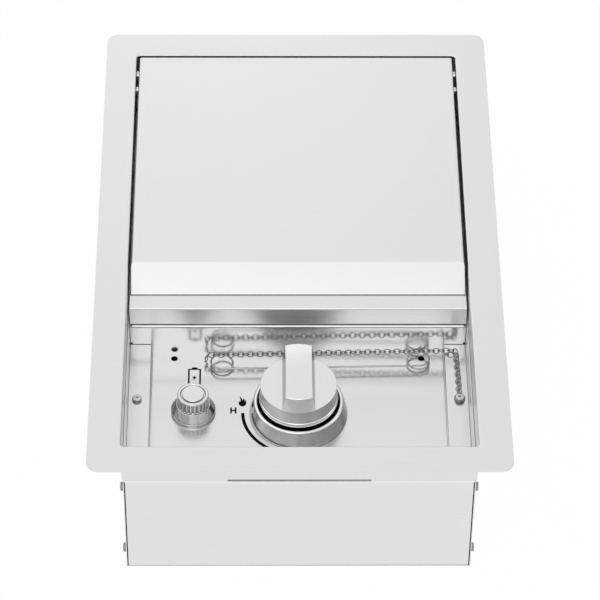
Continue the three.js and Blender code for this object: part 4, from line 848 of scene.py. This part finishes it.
# %% Path of the chain
def rounded(corners, radius, steps=6):
    corners = [Vector(corner) for corner in corners]
    path = [corners[0]]
    for before, corner, after in zip(corners, corners[1:], corners[2:]):
        start = corner + (before - corner).normalized() * min(radius, (before - corner).length / 2)
        end = corner + (after - corner).normalized() * min(radius, (after - corner).length / 2)
        for step in range(steps + 1):
            share = step / steps
            path.append(start.lerp(corner, share).lerp(corner.lerp(end, share), share))
    return path + [corners[-1]]


def length_of(path):
    return sum((end - start).length for start, end in zip(path, path[1:]))


def evenly(path, count):
    lengths = [(end - start).length for start, end in zip(path, path[1:])]
    stride, points, travelled, index = sum(lengths) / count, [path[0]], 0.0, 0
    for number in range(1, count):
        while travelled + lengths[index] < number * stride:
            travelled += lengths[index]
            index += 1
        points.append(path[index].lerp(path[index + 1], (number * stride - travelled) / lengths[index]))
    return points + [path[-1]]


RING_X, LEDGE_CHAIN_Z = 134.5, 93.7
CHAIN_Y, COIL_X, COIL_Z = -77.9, -77.5, 88.44
CHAIN_BEND, LINK_PITCH = 3.5, 4.118
chain_path = rounded([
    (RING_X, -126.1, 91.85), (RING_X, -122.6, LEDGE_CHAIN_Z), (133.5, CHAIN_Y, LEDGE_CHAIN_Z),
    (123.3, CHAIN_Y, LEDGE_CHAIN_Z), (-64.8, CHAIN_Y, COIL_Z), (COIL_X, CHAIN_Y, COIL_Z),
    (COIL_X, CHAIN_Y, 81.1),
], CHAIN_BEND)
link_count = round(length_of(chain_path) / LINK_PITCH)
places = evenly(chain_path, link_count * 2)
print("chain:", round(length_of(chain_path), 1), "mm,", link_count, "links")

# %% [markdown]
# One link is a ring that is drawn out in the middle. Its copies follow the path, each turned a quarter
# against the one before it, as the links of a real chain are.

# %% Chain
LINK_RADIUS, LINK_WIRE, LINK_STRAIGHT, LINK_ROLL = 2.2, 0.5, 1.0, 0.45
UP = Vector((0, 0, 1))


def ring(name, radius, wire, place, steps):
    piece = added(
        name, bpy.ops.mesh.primitive_torus_add, major_radius=radius * MM, minor_radius=wire * MM,
        major_segments=steps, minor_segments=8, location=Vector(place) * MM,
    )
    bpy.ops.object.shade_smooth()
    return piece


link = ring("link_model", LINK_RADIUS, LINK_WIRE, (0, 0, 0), 18)
for side in (-1, 1):
    with editing(link):
        pick("VERT", lambda at, point: at.x * side > 0.01)
        bpy.ops.transform.translate(value=(side * LINK_STRAIGHT / 2 * MM, 0, 0))

links = [ring("chain_ring", 4.2, 0.55, (RING_X, -130.3, 91.85), 32)]
for number in range(link_count):
    start, middle, end = places[number * 2:number * 2 + 3]
    along = (end - start).normalized()
    up = (UP - along * along.z).normalized() if abs(along.z) < 0.999 else Vector((0, 1, 0))
    facing = Matrix((along, up.cross(along), up)).transposed().to_4x4()
    roll = Matrix.Rotation(LINK_ROLL - number % 2 * QUARTER, 4, "X")
    links.append(placed_copy(link, f"link_{number}", (0, 0, 0)))
    links[-1].matrix_world = Matrix.Translation(middle * MM) @ facing @ roll
removed(link)
settled(joined("linked_chain", links), "base", "polished", chain_steel, "match_chain")

# %% [markdown]
# The top frame is one pressing: a flat flange with rounded corners, a bend into the opening and a
# skirt below it. Two flat outlines are bridged into the flange, the inner one is extruded down into
# the skirt, and the edge between them is bevelled into the bend. The sheet gets its thickness last.

# %% Top frame
OPEN_X, OPEN_FRONT, OPEN_REAR, SKIRT_LOW = 143.0, -235.5, 234.5, 106.7
FRAME_TOP, SHEET = 150.0, 0.8
FLANGE_CORNER, OPENING_CORNER, FRAME_BEND = 10, 3.2, 1.7


def rounded_outline(half_x, front, rear, corner):
    outline = added(
        "outline", bpy.ops.mesh.primitive_plane_add, size=MM,
        location=Vector((0, (front + rear) / 2, FRAME_TOP)) * MM,
    )
    with editing(outline):
        bpy.ops.transform.resize(value=(half_x * 2, rear - front, 1))
        bpy.ops.mesh.bevel(offset=corner * MM, segments=8, affect="VERTICES")
        bpy.ops.mesh.delete(type="ONLY_FACE")
    return fixed(outline)


def is_on_opening(middle, edge):
    return abs(middle.x) < OPEN_X + 0.1 and OPEN_FRONT - 0.1 < middle.y < OPEN_REAR + 0.1


def is_bend(middle, edge):
    return is_on_opening(middle, edge) and all(v.co.z > (FRAME_TOP - 0.1) * MM for v in edge.verts)


frame_low, frame_high = corners_of("top_frame")
pressing = joined("pressed_frame", [
    rounded_outline(frame_high.x, frame_low.y, frame_high.y, FLANGE_CORNER),
    rounded_outline(OPEN_X, OPEN_FRONT, OPEN_REAR, OPENING_CORNER),
])
with editing(pressing):
    bpy.ops.mesh.bridge_edge_loops()
    pick("EDGE", is_on_opening)
    bpy.ops.mesh.extrude_edges_move(TRANSFORM_OT_translate={"value": (0, 0, (SKIRT_LOW - FRAME_TOP) * MM)})
    turned_outwards()
    pick("EDGE", is_bend)
    bpy.ops.mesh.bevel(offset=FRAME_BEND * MM, segments=6, affect="EDGES")
print("frame:", len(pressing.data.polygons), "faces before its slot")

# %% [markdown]
# A narrow slot in the front of the skirt lets air into the recess. Cuts by bisect mark its four sides
# on the skirt's front face, and the face between them goes. The sheet is then thickened downwards, so
# that its top keeps its height: which side of the faces that is depends on how they were made, so it
# is measured. The hinge's rivets pass through holes that are drilled across both sides. A painted
# highlight makes the skirt's front a bright strip below the flange, and painted shade darkens the
# slot's cut edges.

# %% Slot and holes in the frame
SLOT_HALF, SLOT_LOW, SLOT_TOP = 58.0, 107.8, 110.0
ACROSS_FRAME, THROUGH_SHEET, RIVET_HOLE = 400, 30, 2.15


def drilled(piece, radius, place, depth, tilt=(0, 0, 0)):
    drill = added(
        "drill", bpy.ops.mesh.primitive_cylinder_add, vertices=48, radius=radius * MM, depth=depth * MM,
        location=Vector(place) * MM, rotation=tilt,
    )
    cut_by(drill, piece)


def is_skirt_front(middle, face):
    return abs(face.normal.y) > 0.9 and middle.y < OPEN_FRONT + 0.5


cuts = [((side * SLOT_HALF, 0, 0), (1, 0, 0)) for side in (-1, 1)]
cuts += [((0, 0, height), (0, 0, 1)) for height in (SLOT_LOW, SLOT_TOP)]
for place, direction in cuts:
    with editing(pressing):
        pick("FACE", is_skirt_front)
        bpy.ops.mesh.bisect(plane_co=Vector(place) * MM, plane_no=direction)
with editing(pressing):
    pick("FACE", lambda at, face: (
        is_skirt_front(at, face) and abs(at.x) < SLOT_HALF and SLOT_LOW < at.z < SLOT_TOP
    ))
    bpy.ops.mesh.delete(type="FACE")
    turned_outwards()
faces_down = sum(face.normal.z * face.area for face in pressing.data.polygons) < 0
modified(pressing, "SOLIDIFY", thickness=SHEET * MM, offset=1 if faces_down else -1)
for node_name in ("hinge_pin_left", "stop_pin_left"):
    pin = centre_of(node_name) / MM
    drilled(pressing, RIVET_HOLE, (0, pin.y, pin.z), ACROSS_FRAME, (0, QUARTER, 0))
settled(softened(pressing, 0.18, 2), "base", "stainless", frame_steel, "top_frame")
# A painted highlight on the skirt's front, and painted shade on the slot's edges.
painted(pressing, highlight_strip, lambda at, face: at.y < OPEN_FRONT + 0.2 and at.z < SLOT_LOW - 0.1)
painted(pressing, shade_black, lambda at, face: (
    OPEN_FRONT - 0.1 < at.y < OPEN_FRONT + 1 and abs(at.x) < SLOT_HALF + NEAR
    and SLOT_LOW - NEAR < at.z < SLOT_TOP + NEAR and abs(face.normal.z) > 0.4
))

# %% [markdown]
# The recess is one tray of folded sheet. Across it, its section is a hat: two raised ledges with the
# sunken floor between them. At the rear its wall stands up and folds back over the burner box, with a
# round bend under the lid's handle. Both strips are folded, the holes are drilled by Boolean, and the
# two are joined where they meet.

# %% Recess
LEDGE_Z, RISER_X, EDGE_X, TRAY_FRONT, TRAY_BEND = 91.0, 123.3, 141.6, -234.1, 1
WALL_Y, WALL_TOP, WALL_HALF, WALL_BEND, WALL_FOLD = -67.9, 113.0, 139.8, 1.9, 6
RAIL_HOLE, SCREW_HOLE = (104.7, -73.3, FLOOR_Z), (134.5, -131.5, LEDGE_Z)
half = SHEET / 2


def folded(name, line, across, bends, thickness=SHEET):
    strip = drawn(name, line)
    with editing(strip):
        bpy.ops.mesh.extrude_edges_move(TRANSFORM_OT_translate={"value": Vector(across) * MM})
        for corner, bend in zip(line[1:-1], bends):
            middle = Vector(corner) + Vector(across) / 2
            pick("EDGE", lambda at, edge: (at - middle).length < 0.1)
            bpy.ops.mesh.bevel(offset=bend * MM, segments=6, affect="EDGES")
        cleaned()
    modified(strip, "SOLIDIFY", thickness=thickness * MM, offset=0)
    return strip


riser, high, low = RISER_X + half, LEDGE_Z - half, FLOOR_Z - half
tray = folded("recess_tray", [(x, TRAY_FRONT, z) for x, z in (
    (-EDGE_X, high), (-riser, high), (-riser, low), (riser, low), (riser, high), (EDGE_X, high),
)], (0, WALL_Y + SHEET - TRAY_FRONT, 0), [TRAY_BEND] * 4)
with editing(tray):
    pick("VERT", lambda at, point: abs(at.x) > RISER_X + 0.9 and at.y > WALL_Y)
    bpy.ops.transform.translate(value=(0, (-SHEET - 0.5) * MM, 0))
drilled(tray, 6, (KNOB_X, KNOB_Y, FLOOR_Z), THROUGH_SHEET)
drilled(tray, 11.3, (IGNITER_X, IGNITER_Y, FLOOR_Z), THROUGH_SHEET)
for side in (-1, 1):
    for radius, (x, y, z) in ((2.9, RAIL_HOLE), (2.2, SCREW_HOLE)):
        drilled(tray, radius, (side * x, y, z), THROUGH_SHEET)
wall = folded("recess_wall", [(-WALL_HALF, WALL_Y + half + y, z) for y, z in (
    (0, FLOOR_Z - SHEET), (0, WALL_TOP - half), (WALL_FOLD, WALL_TOP - half),
)], (WALL_HALF * 2, 0, 0), [WALL_BEND])
tray = joined("control_tray", [softened(tray, 0.12, 2), softened(wall, 0.12, 2)])
settled(tray, "base", "stainless", recess_steel, "control_panel")
painted(tray, wall_steel, lambda at, face: face.normal.y < -0.3 and at.y > WALL_Y - 0.5 and at.z > FLOOR_Z)

# %% [markdown]
# Behind the frame's slot the recess is dark. A thin black strip of painted shade, folded like the
# sheets above, stands behind the slot and closes the view into the lit recess.

# %% Painted shade behind the slot
SHADE_STRIP_X, SHADE_STRIP_Y, SHADE_STRIP_LIP, SHADE_STRIP_FOLD = SLOT_HALF + 1.5, OPEN_FRONT + 1.0, 0.6, 1.1
shade_strip = folded("slot_shade_strip", [(-SHADE_STRIP_X, SHADE_STRIP_Y + y, z) for y, z in (
    (0, SLOT_LOW - SHADE_STRIP_LIP), (0, SLOT_TOP + SHADE_STRIP_LIP), (SHADE_STRIP_FOLD, SLOT_TOP + SHADE_STRIP_LIP),
)], (SHADE_STRIP_X * 2, 0, 0), [0.4], 0.3)
# The black strip is painted shade.
settled(softened(shade_strip, 0.05, 2), "base", "black_plastic", shade_black)

# %% [markdown]
# The lid's handle is a strip of the same sheet, folded three times: up behind the lid's front, over to
# the front, down as the face that fingers pull on, and back into a hem. The strip's section is drawn
# and extruded across the lid, its folds are bevelled into bends, and Solidify gives it its thickness.

# %% Lid handle
HANDLE_BACK, HANDLE_HEM, HANDLE_BEND = 11, 5, 1.4
low, high = corners_of("lid_handle")
rear, front, top, foot = high.y - half, low.y + half, high.z - half, low.z + half
handle = folded("folded_handle", [(low.x, y, z) for y, z in (
    (rear, high.z - HANDLE_BACK), (rear, top), (front, top), (front, foot), (front + HANDLE_HEM, foot),
)], (high.x - low.x, 0, 0), [HANDLE_BEND] * 3)
settled(softened(handle, 0.15, 2, 30), "lid", "stainless", lid_steel, "lid_handle")

# %% [markdown]
# The grate is welded of round rods: a frame with rounded corners that lies on the box's ledge, two
# cross bars, and nine bars on top where a pan stands. Each rod is a wire of its own, and a bar is
# modelled once and copied along the grate.

# %% Grate
ROD, ROD_BEND, TOP_BARS, CROSS_SHARE = 3.0, 12, 9, 0.47
low, high = corners_of("grate")
half_x, front, rear = high.x - ROD, low.y + ROD, high.y - ROD
rod_z, top_z = low.z + ROD, high.z - ROD
rods = [wired("frame_rod", rounded([
    (0, front, rod_z), (half_x, front, rod_z), (half_x, rear, rod_z), (-half_x, rear, rod_z),
    (-half_x, front, rod_z), (-0.01, front, rod_z),
], ROD_BEND, 10), ROD, 4)]
for share in (-CROSS_SHARE, CROSS_SHARE):
    rods.append(wired("cross_rod", [(half_x * share, front, rod_z), (half_x * share, rear, rod_z)], ROD, 4))
pitch = (rear - front) / TOP_BARS
bar = wired("top_rod", [(-half_x, front + pitch / 2, top_z), (half_x, front + pitch / 2, top_z)], ROD, 4)
rods.append(softened(bar, 0.8, 3, 60))
for number in range(1, TOP_BARS):
    place = bar.location + Vector((0, number * pitch * MM, 0))
    rods.append(placed_copy(bar, f"top_rod_{number}", place))
settled(joined("welded_grate", rods), "grate", "cast_iron", enamel, "grate")

# %% [markdown]
# The burner is a cast bowl on a neck, with a socket at the front for the gas tube. Bowl and socket are
# both turned, and the socket is tilted to point forwards before they become one casting.

# %% Burner
SEAT_Z, GAS_Z, BOWL_TOP, CAP_RISE = 68.0, 55.0, 86, 9
BOWL_RADIUS, NECK_RADIUS, NECK_BORE, BORE_FLOOR = 42, 15, 12, 45
SOCKET_BORE, SOCKET_RADIUS, SOCKET_LENGTH, SOCKET_BACK = 10.6, 12.2, 24, 34
bowl_low, bowl_high = corners_of("burner_base")
BURNER_Y = bowl_high.y - BOWL_RADIUS
bowl = turned("cast_bowl", [
    (0, bowl_low.z), (NECK_RADIUS, bowl_low.z), (NECK_RADIUS, SEAT_Z), (25.2, SEAT_Z), (BOWL_RADIUS, 83),
    (BOWL_RADIUS, BOWL_TOP), (36, BOWL_TOP), (22.2, 71), (NECK_BORE, 71), (NECK_BORE, BORE_FLOOR),
    (0, BORE_FLOOR),
], (0, BURNER_Y, 0))
socket = turned("cast_socket", [
    (SOCKET_BORE, 0), (SOCKET_RADIUS, 0), (SOCKET_RADIUS, SOCKET_LENGTH), (SOCKET_BORE, SOCKET_LENGTH),
    (SOCKET_BORE, 0),
], (0, BURNER_Y - SOCKET_BACK, GAS_Z), 64, (-QUARTER, 0, 0))
burner = joined("cast_burner", [softened(bowl, 0.8, 3), softened(socket, 0.4, 2)])
settled(burner, "base", "cast_iron", enamel, "burner_base")

# %% [markdown]
# A loose cap lies on the bowl, and the notches round its edge let the flames out. They are cut by one
# Boolean with a star of blocks: one block is modelled and copied round the cap's axis.

# %% Burner cap
NOTCHES, NOTCH_RADIUS, NOTCH_SIZE, NOTCH_DROP = 14, 35.5, (17, 3, 5.6), 0.4
cap_foot = corners_of("burner_cap")[1].z - CAP_RISE
crown = [(39.5 * share, CAP_RISE - 1.25 * share ** 2) for share in (1, 0.75, 0.5, 0.25, 0)]
cap = turned("notched_cap", [
    (0, 0), (28, 0), (28, -3), (31, -3), (31, 0), (BOWL_RADIUS, 0), (BOWL_RADIUS, 6.2), (41.4, 7.1), *crown,
], (0, BURNER_Y, cap_foot), 112)
block = added("notch_block", bpy.ops.mesh.primitive_cube_add, size=MM)
with editing(block):
    bpy.ops.transform.resize(value=NOTCH_SIZE)
notches = []
for number in range(NOTCHES):
    turn = number * math.tau / NOTCHES
    outwards = Vector((math.cos(turn), math.sin(turn), 0)) * NOTCH_RADIUS
    place = (Vector((0, BURNER_Y, cap_foot - NOTCH_DROP)) + outwards) * MM
    notches.append(placed_copy(block, f"notch_{number}", place, (0, 0, turn)))
removed(block)
cut_by(joined("notch_cutter", notches), cap)
settled(softened(cap, 0.3, 2), "burner_cap", "cast_iron", enamel, "burner_cap")

# %% [markdown]
# At the rear a brass fitting takes the gas hose. Its thread is a row of ridges in the turned profile,
# which looks the same as a spiral at this size. Six steps instead of many turn a hexagon, so the
# same helper makes the fitting's inner flats and the locknut.

# %% Inlet fitting
INLET_X, INLET_Z, FITTING_START, HEX_END, FITTING_END = 96.0, 12.5, 217.4, 229.4, 256.2
THREAD_PITCH, THREAD_FOOT, THREAD_RADIUS, FITTING_BORE = 1.814, 9.5, 10.4, 6.5
PLAIN_LENGTH, LOCKNUT_START, TO_REAR = 11.5, 234.5, (-QUARTER, 0, 0)
inlet = (INLET_X, FITTING_START, INLET_Z)

ridges = []
length, collar = FITTING_END - FITTING_START, HEX_END - FITTING_START
ridge = collar + PLAIN_LENGTH
while ridge < length - THREAD_PITCH:
    ridges += [(THREAD_FOOT, ridge), (THREAD_RADIUS, ridge + THREAD_PITCH * 0.4),
               (THREAD_RADIUS, ridge + THREAD_PITCH * 0.6)]
    ridge += THREAD_PITCH
tube = turned("threaded_tube", [
    (FITTING_BORE, 0), (10, 0), (10, collar), (10.2, collar + 0.5), *ridges, (THREAD_FOOT, ridge),
    (THREAD_FOOT, length - 0.5), (9.1, length), (FITTING_BORE + 0.5, length), (FITTING_BORE, length - 0.5),
    (FITTING_BORE, 0),
], inlet, 64, TO_REAR)
only(tube)
bpy.ops.object.shade_smooth_by_angle(angle=math.radians(25))
flats = turned("fitting_flats", [
    (9.2, 0.2), (9.6, 0.2), (10.9, 1), (10.9, 11), (9.6, 12), (9.2, 12), (9.2, 0.2),
], inlet, 6, TO_REAR)
fitting = joined("threaded_fitting", [tube, softened(flats, 0.2, 2, 25)])
settled(fitting, "base", "brass", brass, "inlet_fitting")

locknut = turned("hex_locknut", [
    (10.7, 0.2), (12.4, 0), (13.8, 0.9), (13.8, 4.1), (12.4, 5), (10.7, 4.8), (10.7, 0.2),
], (INLET_X, LOCKNUT_START, INLET_Z), 6, TO_REAR)
settled(softened(locknut, 0.2, 2, 25), "base", "brass", brass, "inlet_locknut")

# %% [markdown]
# The lid turns on two shouldered rivets, and two more run in its slots and stop it. Each is turned
# about an upright axis and then tilted to point sideways. A split clip holds each hinge rivet.

# %% Rivets and clips of the hinge
SKIRT_OUT, LID_SIDE, PLATE_INNER, PLAY = 144.1, 140.4, 137.8, 0.3
RIVET_SHANK, CLIP_BORE, CLIP_RADIUS, CLIP_WIDTH, CLIP_GAP = 2, 2.15, 4.2, 0.8, 0.9


def hinge_rivet(name, stands_for, shoulder, tail, side):
    centre = centre_of(stands_for) / MM
    piece = turned(name, [
        (0, tail), (RIVET_SHANK - 0.3, tail), (RIVET_SHANK, tail + 0.3), (RIVET_SHANK, LID_SIDE + PLAY),
        (shoulder, LID_SIDE + PLAY), (shoulder, OPEN_X - PLAY), (RIVET_SHANK, OPEN_X - PLAY),
        (RIVET_SHANK, SKIRT_OUT), (4, SKIRT_OUT), *arc(2.8, SKIRT_OUT + 0.2, 1.2), (0, SKIRT_OUT + 1.4),
    ], (0, centre.y, centre.z), 48, (0, side * QUARTER, 0))
    settled(softened(piece, 0.12, 2), "base", "polished", nickel, stands_for)
    return centre


for side, word in ((-1, "left"), (1, "right")):
    pivot = hinge_rivet(f"pivot_rivet_{word}", f"hinge_pin_{word}", 3.6, PLATE_INNER - 3, side)
    hinge_rivet(f"stop_rivet_{word}", f"stop_pin_{word}", 2.9, PLATE_INNER - PLAY, side)
    clip = turned(f"split_clip_{word}", [
        (CLIP_BORE, 0), (CLIP_RADIUS, 0), (CLIP_RADIUS, CLIP_WIDTH), (CLIP_BORE, CLIP_WIDTH),
        (CLIP_BORE, 0),
    ], steps=48)
    with editing(clip):
        pick("FACE", lambda at, face: at.x > 0 and abs(at.y) < CLIP_GAP)
        bpy.ops.mesh.delete(type="FACE")
        bpy.ops.mesh.select_mode(type="EDGE")
        bpy.ops.mesh.select_all(action="SELECT")
        bpy.ops.mesh.fill_holes(sides=0)
        cleaned()
    clip_x = corners_of(f"hinge_clip_{word}")[0].x
    clip.location, clip.rotation_euler = Vector((clip_x, pivot.y, pivot.z)) * MM, (0, QUARTER, 0)
    settled(softened(clip, 0.1, 2), "base", "galvanised", zinc_sheet, f"hinge_clip_{word}")

# %% [markdown]
# Under the panel a steel pipe carries the gas from the valve to the inlet, and a red lead carries the
# spark from the igniter to the electrode. Both are wires along paths with rounded corners.

# %% Supply pipe and ignition lead
PIPE_RADIUS, PIPE_BEND, PIPE_START, PIPE_END = 5, 16, 36.3, 217.1
LEAD_RADIUS, LEAD_BEND, LEAD_X, LEAD_Z, TERMINAL_X, TERMINAL_Z = 1.3, 6, -51, 29.8, 11.3, 28

pipe = wired("bent_pipe", rounded([
    (PIPE_START, KNOB_Y, GAS_Z), (INLET_X, KNOB_Y, GAS_Z), (INLET_X, KNOB_Y, INLET_Z),
    (INLET_X, PIPE_END, INLET_Z),
], PIPE_BEND, 12), PIPE_RADIUS, 5)
settled(pipe, "base", "galvanised", zinc_sheet, "supply_pipe")

lead_start = IGNITER_X + TERMINAL_X
lead_path = rounded([
    (lead_start, IGNITER_Y, TERMINAL_Z), ((lead_start + LEAD_X) / 2, IGNITER_Y, TERMINAL_Z),
    (LEAD_X, -84.8, LEAD_Z), (LEAD_X, BURNER_Y, LEAD_Z),
    (LEAD_X, BURNER_Y, corners_of("ignition_lead")[1].z),
], LEAD_BEND, 8)
print("ignition lead:", round(length_of(lead_path), 1), "mm")
settled(wired("spark_lead", lead_path, LEAD_RADIUS), "base", "lead_rubber", silicone, "ignition_lead")

# %% [markdown]
# The panel's marks are printed in black: a flame and an H at the high setting, an arc that shrinks the
# flame towards low, and a battery over the igniter. They are thin raised shapes that lie on the floor.
# The arc is a short edge that is spun round the knob's axis.

# %% Printed marks
INK_LOW, INK_HEIGHT = FLOOR_Z + 0.02, 0.06
marks = []


def raised(piece):
    with editing(piece):
        bpy.ops.mesh.extrude_region_move(TRANSFORM_OT_translate={"value": (0, 0, INK_HEIGHT * MM)})
        cleaned()
    marks.append(fixed(piece))


def printed(name, x, y, outline):
    piece = drawn(name, [(x + left, y + up, INK_LOW) for left, up in [*outline, outline[0]]])
    with editing(piece):
        merged()
        bpy.ops.mesh.edge_face_add()
    raised(piece)


ARC_RADIUS, ARC_WIDTH, ARC_SPAN = 46.4, 2.8, math.radians(82)
arc_out, arc_in = KNOB_X - ARC_RADIUS - ARC_WIDTH / 2, KNOB_X - ARC_RADIUS + ARC_WIDTH / 2
sweep = drawn("low_arc", [(arc_out, KNOB_Y, INK_LOW), (arc_in, KNOB_Y, INK_LOW)])
with editing(sweep):
    centre = Vector((KNOB_X, KNOB_Y, INK_LOW)) * MM
    bpy.ops.mesh.spin(steps=48, angle=-ARC_SPAN, center=centre, axis=(0, 0, 1))
raised(sweep)

# %% [markdown]
# The letter H is a grid of nine faces. Its middle column is widened and its middle row narrowed, which
# leaves strokes of one width, and the two faces that an H lacks are deleted.

# %% The letter
H_X, H_Y, H_WIDE, H_TALL, H_STROKE = -54.3, -132.7, 5.2, 6.8, 1.45
letter = added(
    "high_letter", bpy.ops.mesh.primitive_grid_add, x_subdivisions=3, y_subdivisions=3, size=MM,
    location=Vector((H_X, H_Y, INK_LOW)) * MM,
)
with editing(letter):
    bpy.ops.transform.resize(value=(H_WIDE, H_TALL, 1))
    gap, bar_share = (H_WIDE / 2 - H_STROKE) / (H_WIDE / 6), H_STROKE / 2 / (H_TALL / 6)
    for axis, reach, value in ((0, H_WIDE / 3, (gap, 1, 1)), (1, H_TALL / 3, (1, bar_share, 1))):
        pick("VERT", lambda at, point: abs(at[axis]) < reach)
        bpy.ops.transform.resize(value=value, center_override=letter.location)
    pick("FACE", lambda at, face: abs(at.x) < 0.5 and abs(at.y) > H_STROKE)
    bpy.ops.mesh.delete(type="FACE")
raised(letter)

# %% [markdown]
# The flame and the battery with its terminal and bolt are outlines, drawn point by point, filled and
# extruded. All the marks are joined, because they are printed at once.

# %% Flame and battery
FLAME_X, FLAME_Y = -46.7, -122.4
printed("flame", FLAME_X, FLAME_Y, (
    (-0.6, -5.6), (-2.1, -4.9), (-3.1, -3.4), (-3.2, -1.6), (-3.0, 0.4), (-2.2, -0.9), (-1.5, 1.0),
    (-1.9, 3.0), (-2.3, 4.6), (-2.2, 5.9), (-1.2, 4.4), (-0.4, 2.9), (0.2, 1.2), (0.6, 2.3), (0.9, 3.9),
    (1.6, 2.4), (1.8, 0.9), (1.7, -0.3), (2.3, 0.8), (2.9, 1.8), (3.1, 0.2), (3.2, -1.6), (3.0, -3.3),
    (2.1, -4.8), (0.6, -5.6),
))

BATTERY_X, BATTERY_TOP, BATTERY_TALL, BATTERY_HALF, STROKE = -87.35, -85.1, 26.9, 5.5, 1.45
BOLT_Y = -95.3
inner, inner_top = BATTERY_HALF - STROKE, -STROKE * 0.8
printed("battery_outline", BATTERY_X, BATTERY_TOP, (
    (-BATTERY_HALF, 0), (BATTERY_HALF, 0), (BATTERY_HALF, -BATTERY_TALL), (inner, -BATTERY_TALL),
    (inner, inner_top), (-inner, inner_top), (-inner, -BATTERY_TALL), (-BATTERY_HALF, -BATTERY_TALL),
))
printed("battery_terminal", BATTERY_X, BATTERY_TOP, (
    (-2.4, 0.1), (-2.4, 1.2), (-2.1, 1.6), (2.1, 1.6), (2.4, 1.2), (2.4, 0.1),
))
printed("battery_bolt", BATTERY_X, BOLT_Y, (
    (0.6, 3.2), (-2.0, -0.7), (-0.3, -0.7), (-0.7, -3.2), (1.9, 0.8), (0.2, 0.8),
))
settled(joined("printed_marks", marks), "base", "black_plastic", ink)

# %% [markdown]
# The other solids are right as they are and only need their finish. Their faces are loose triangles,
# so a live Weld joins them, a small Bevel breaks their edges, as a real sheet's edges are broken, and
# a Weighted Normal keeps the flat faces flat. The solids themselves are never changed.

# %% Dress the solids
BROKEN_EDGE, SHARP_ANGLE = 0.12 * MM, math.radians(32)
FINISH_OF_SOLID = {
    "side_panel_left": side_steel, "side_panel_right": side_steel, "front_panel": body_steel,
    "rear_panel": body_steel, "burner_box": wall_steel, "lid_panel": lid_steel, "injector": brass,
    "valve_body": brass, "valve_stem": brass, "valve_collar": brass, "igniter_body": black_plastic,
    "igniter_nut": black_plastic, "electrode_ceramic": porcelain, "igniter_battery": cell_wrap,
}

dressed = {name: solid for name, solid in solids.items() if not solid.hide_render}
for name, solid in dressed.items():
    solid.data.materials.clear()
    solid.data.materials.append(FINISH_OF_SOLID.get(name, zinc_sheet))
    solid.data.polygons.foreach_set("use_smooth", [True] * len(solid.data.polygons))
    solid.modifiers.new("weld", "WELD").merge_threshold = MERGE_DISTANCE
    bevel = solid.modifiers.new("broken_edges", "BEVEL")
    bevel.width, bevel.segments, bevel.limit_method = BROKEN_EDGE, 2, "ANGLE"
    bevel.angle_limit = SHARP_ANGLE
    solid.modifiers.new("flat_faces", "WEIGHTED_NORMAL").weight = 60
print("dressed:", len(dressed), "of", len(solids), "solids")

# %% Sizes and finish
low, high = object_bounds()
print("dressed size in mm:", [round(v / MM, 1) for v in high - low])
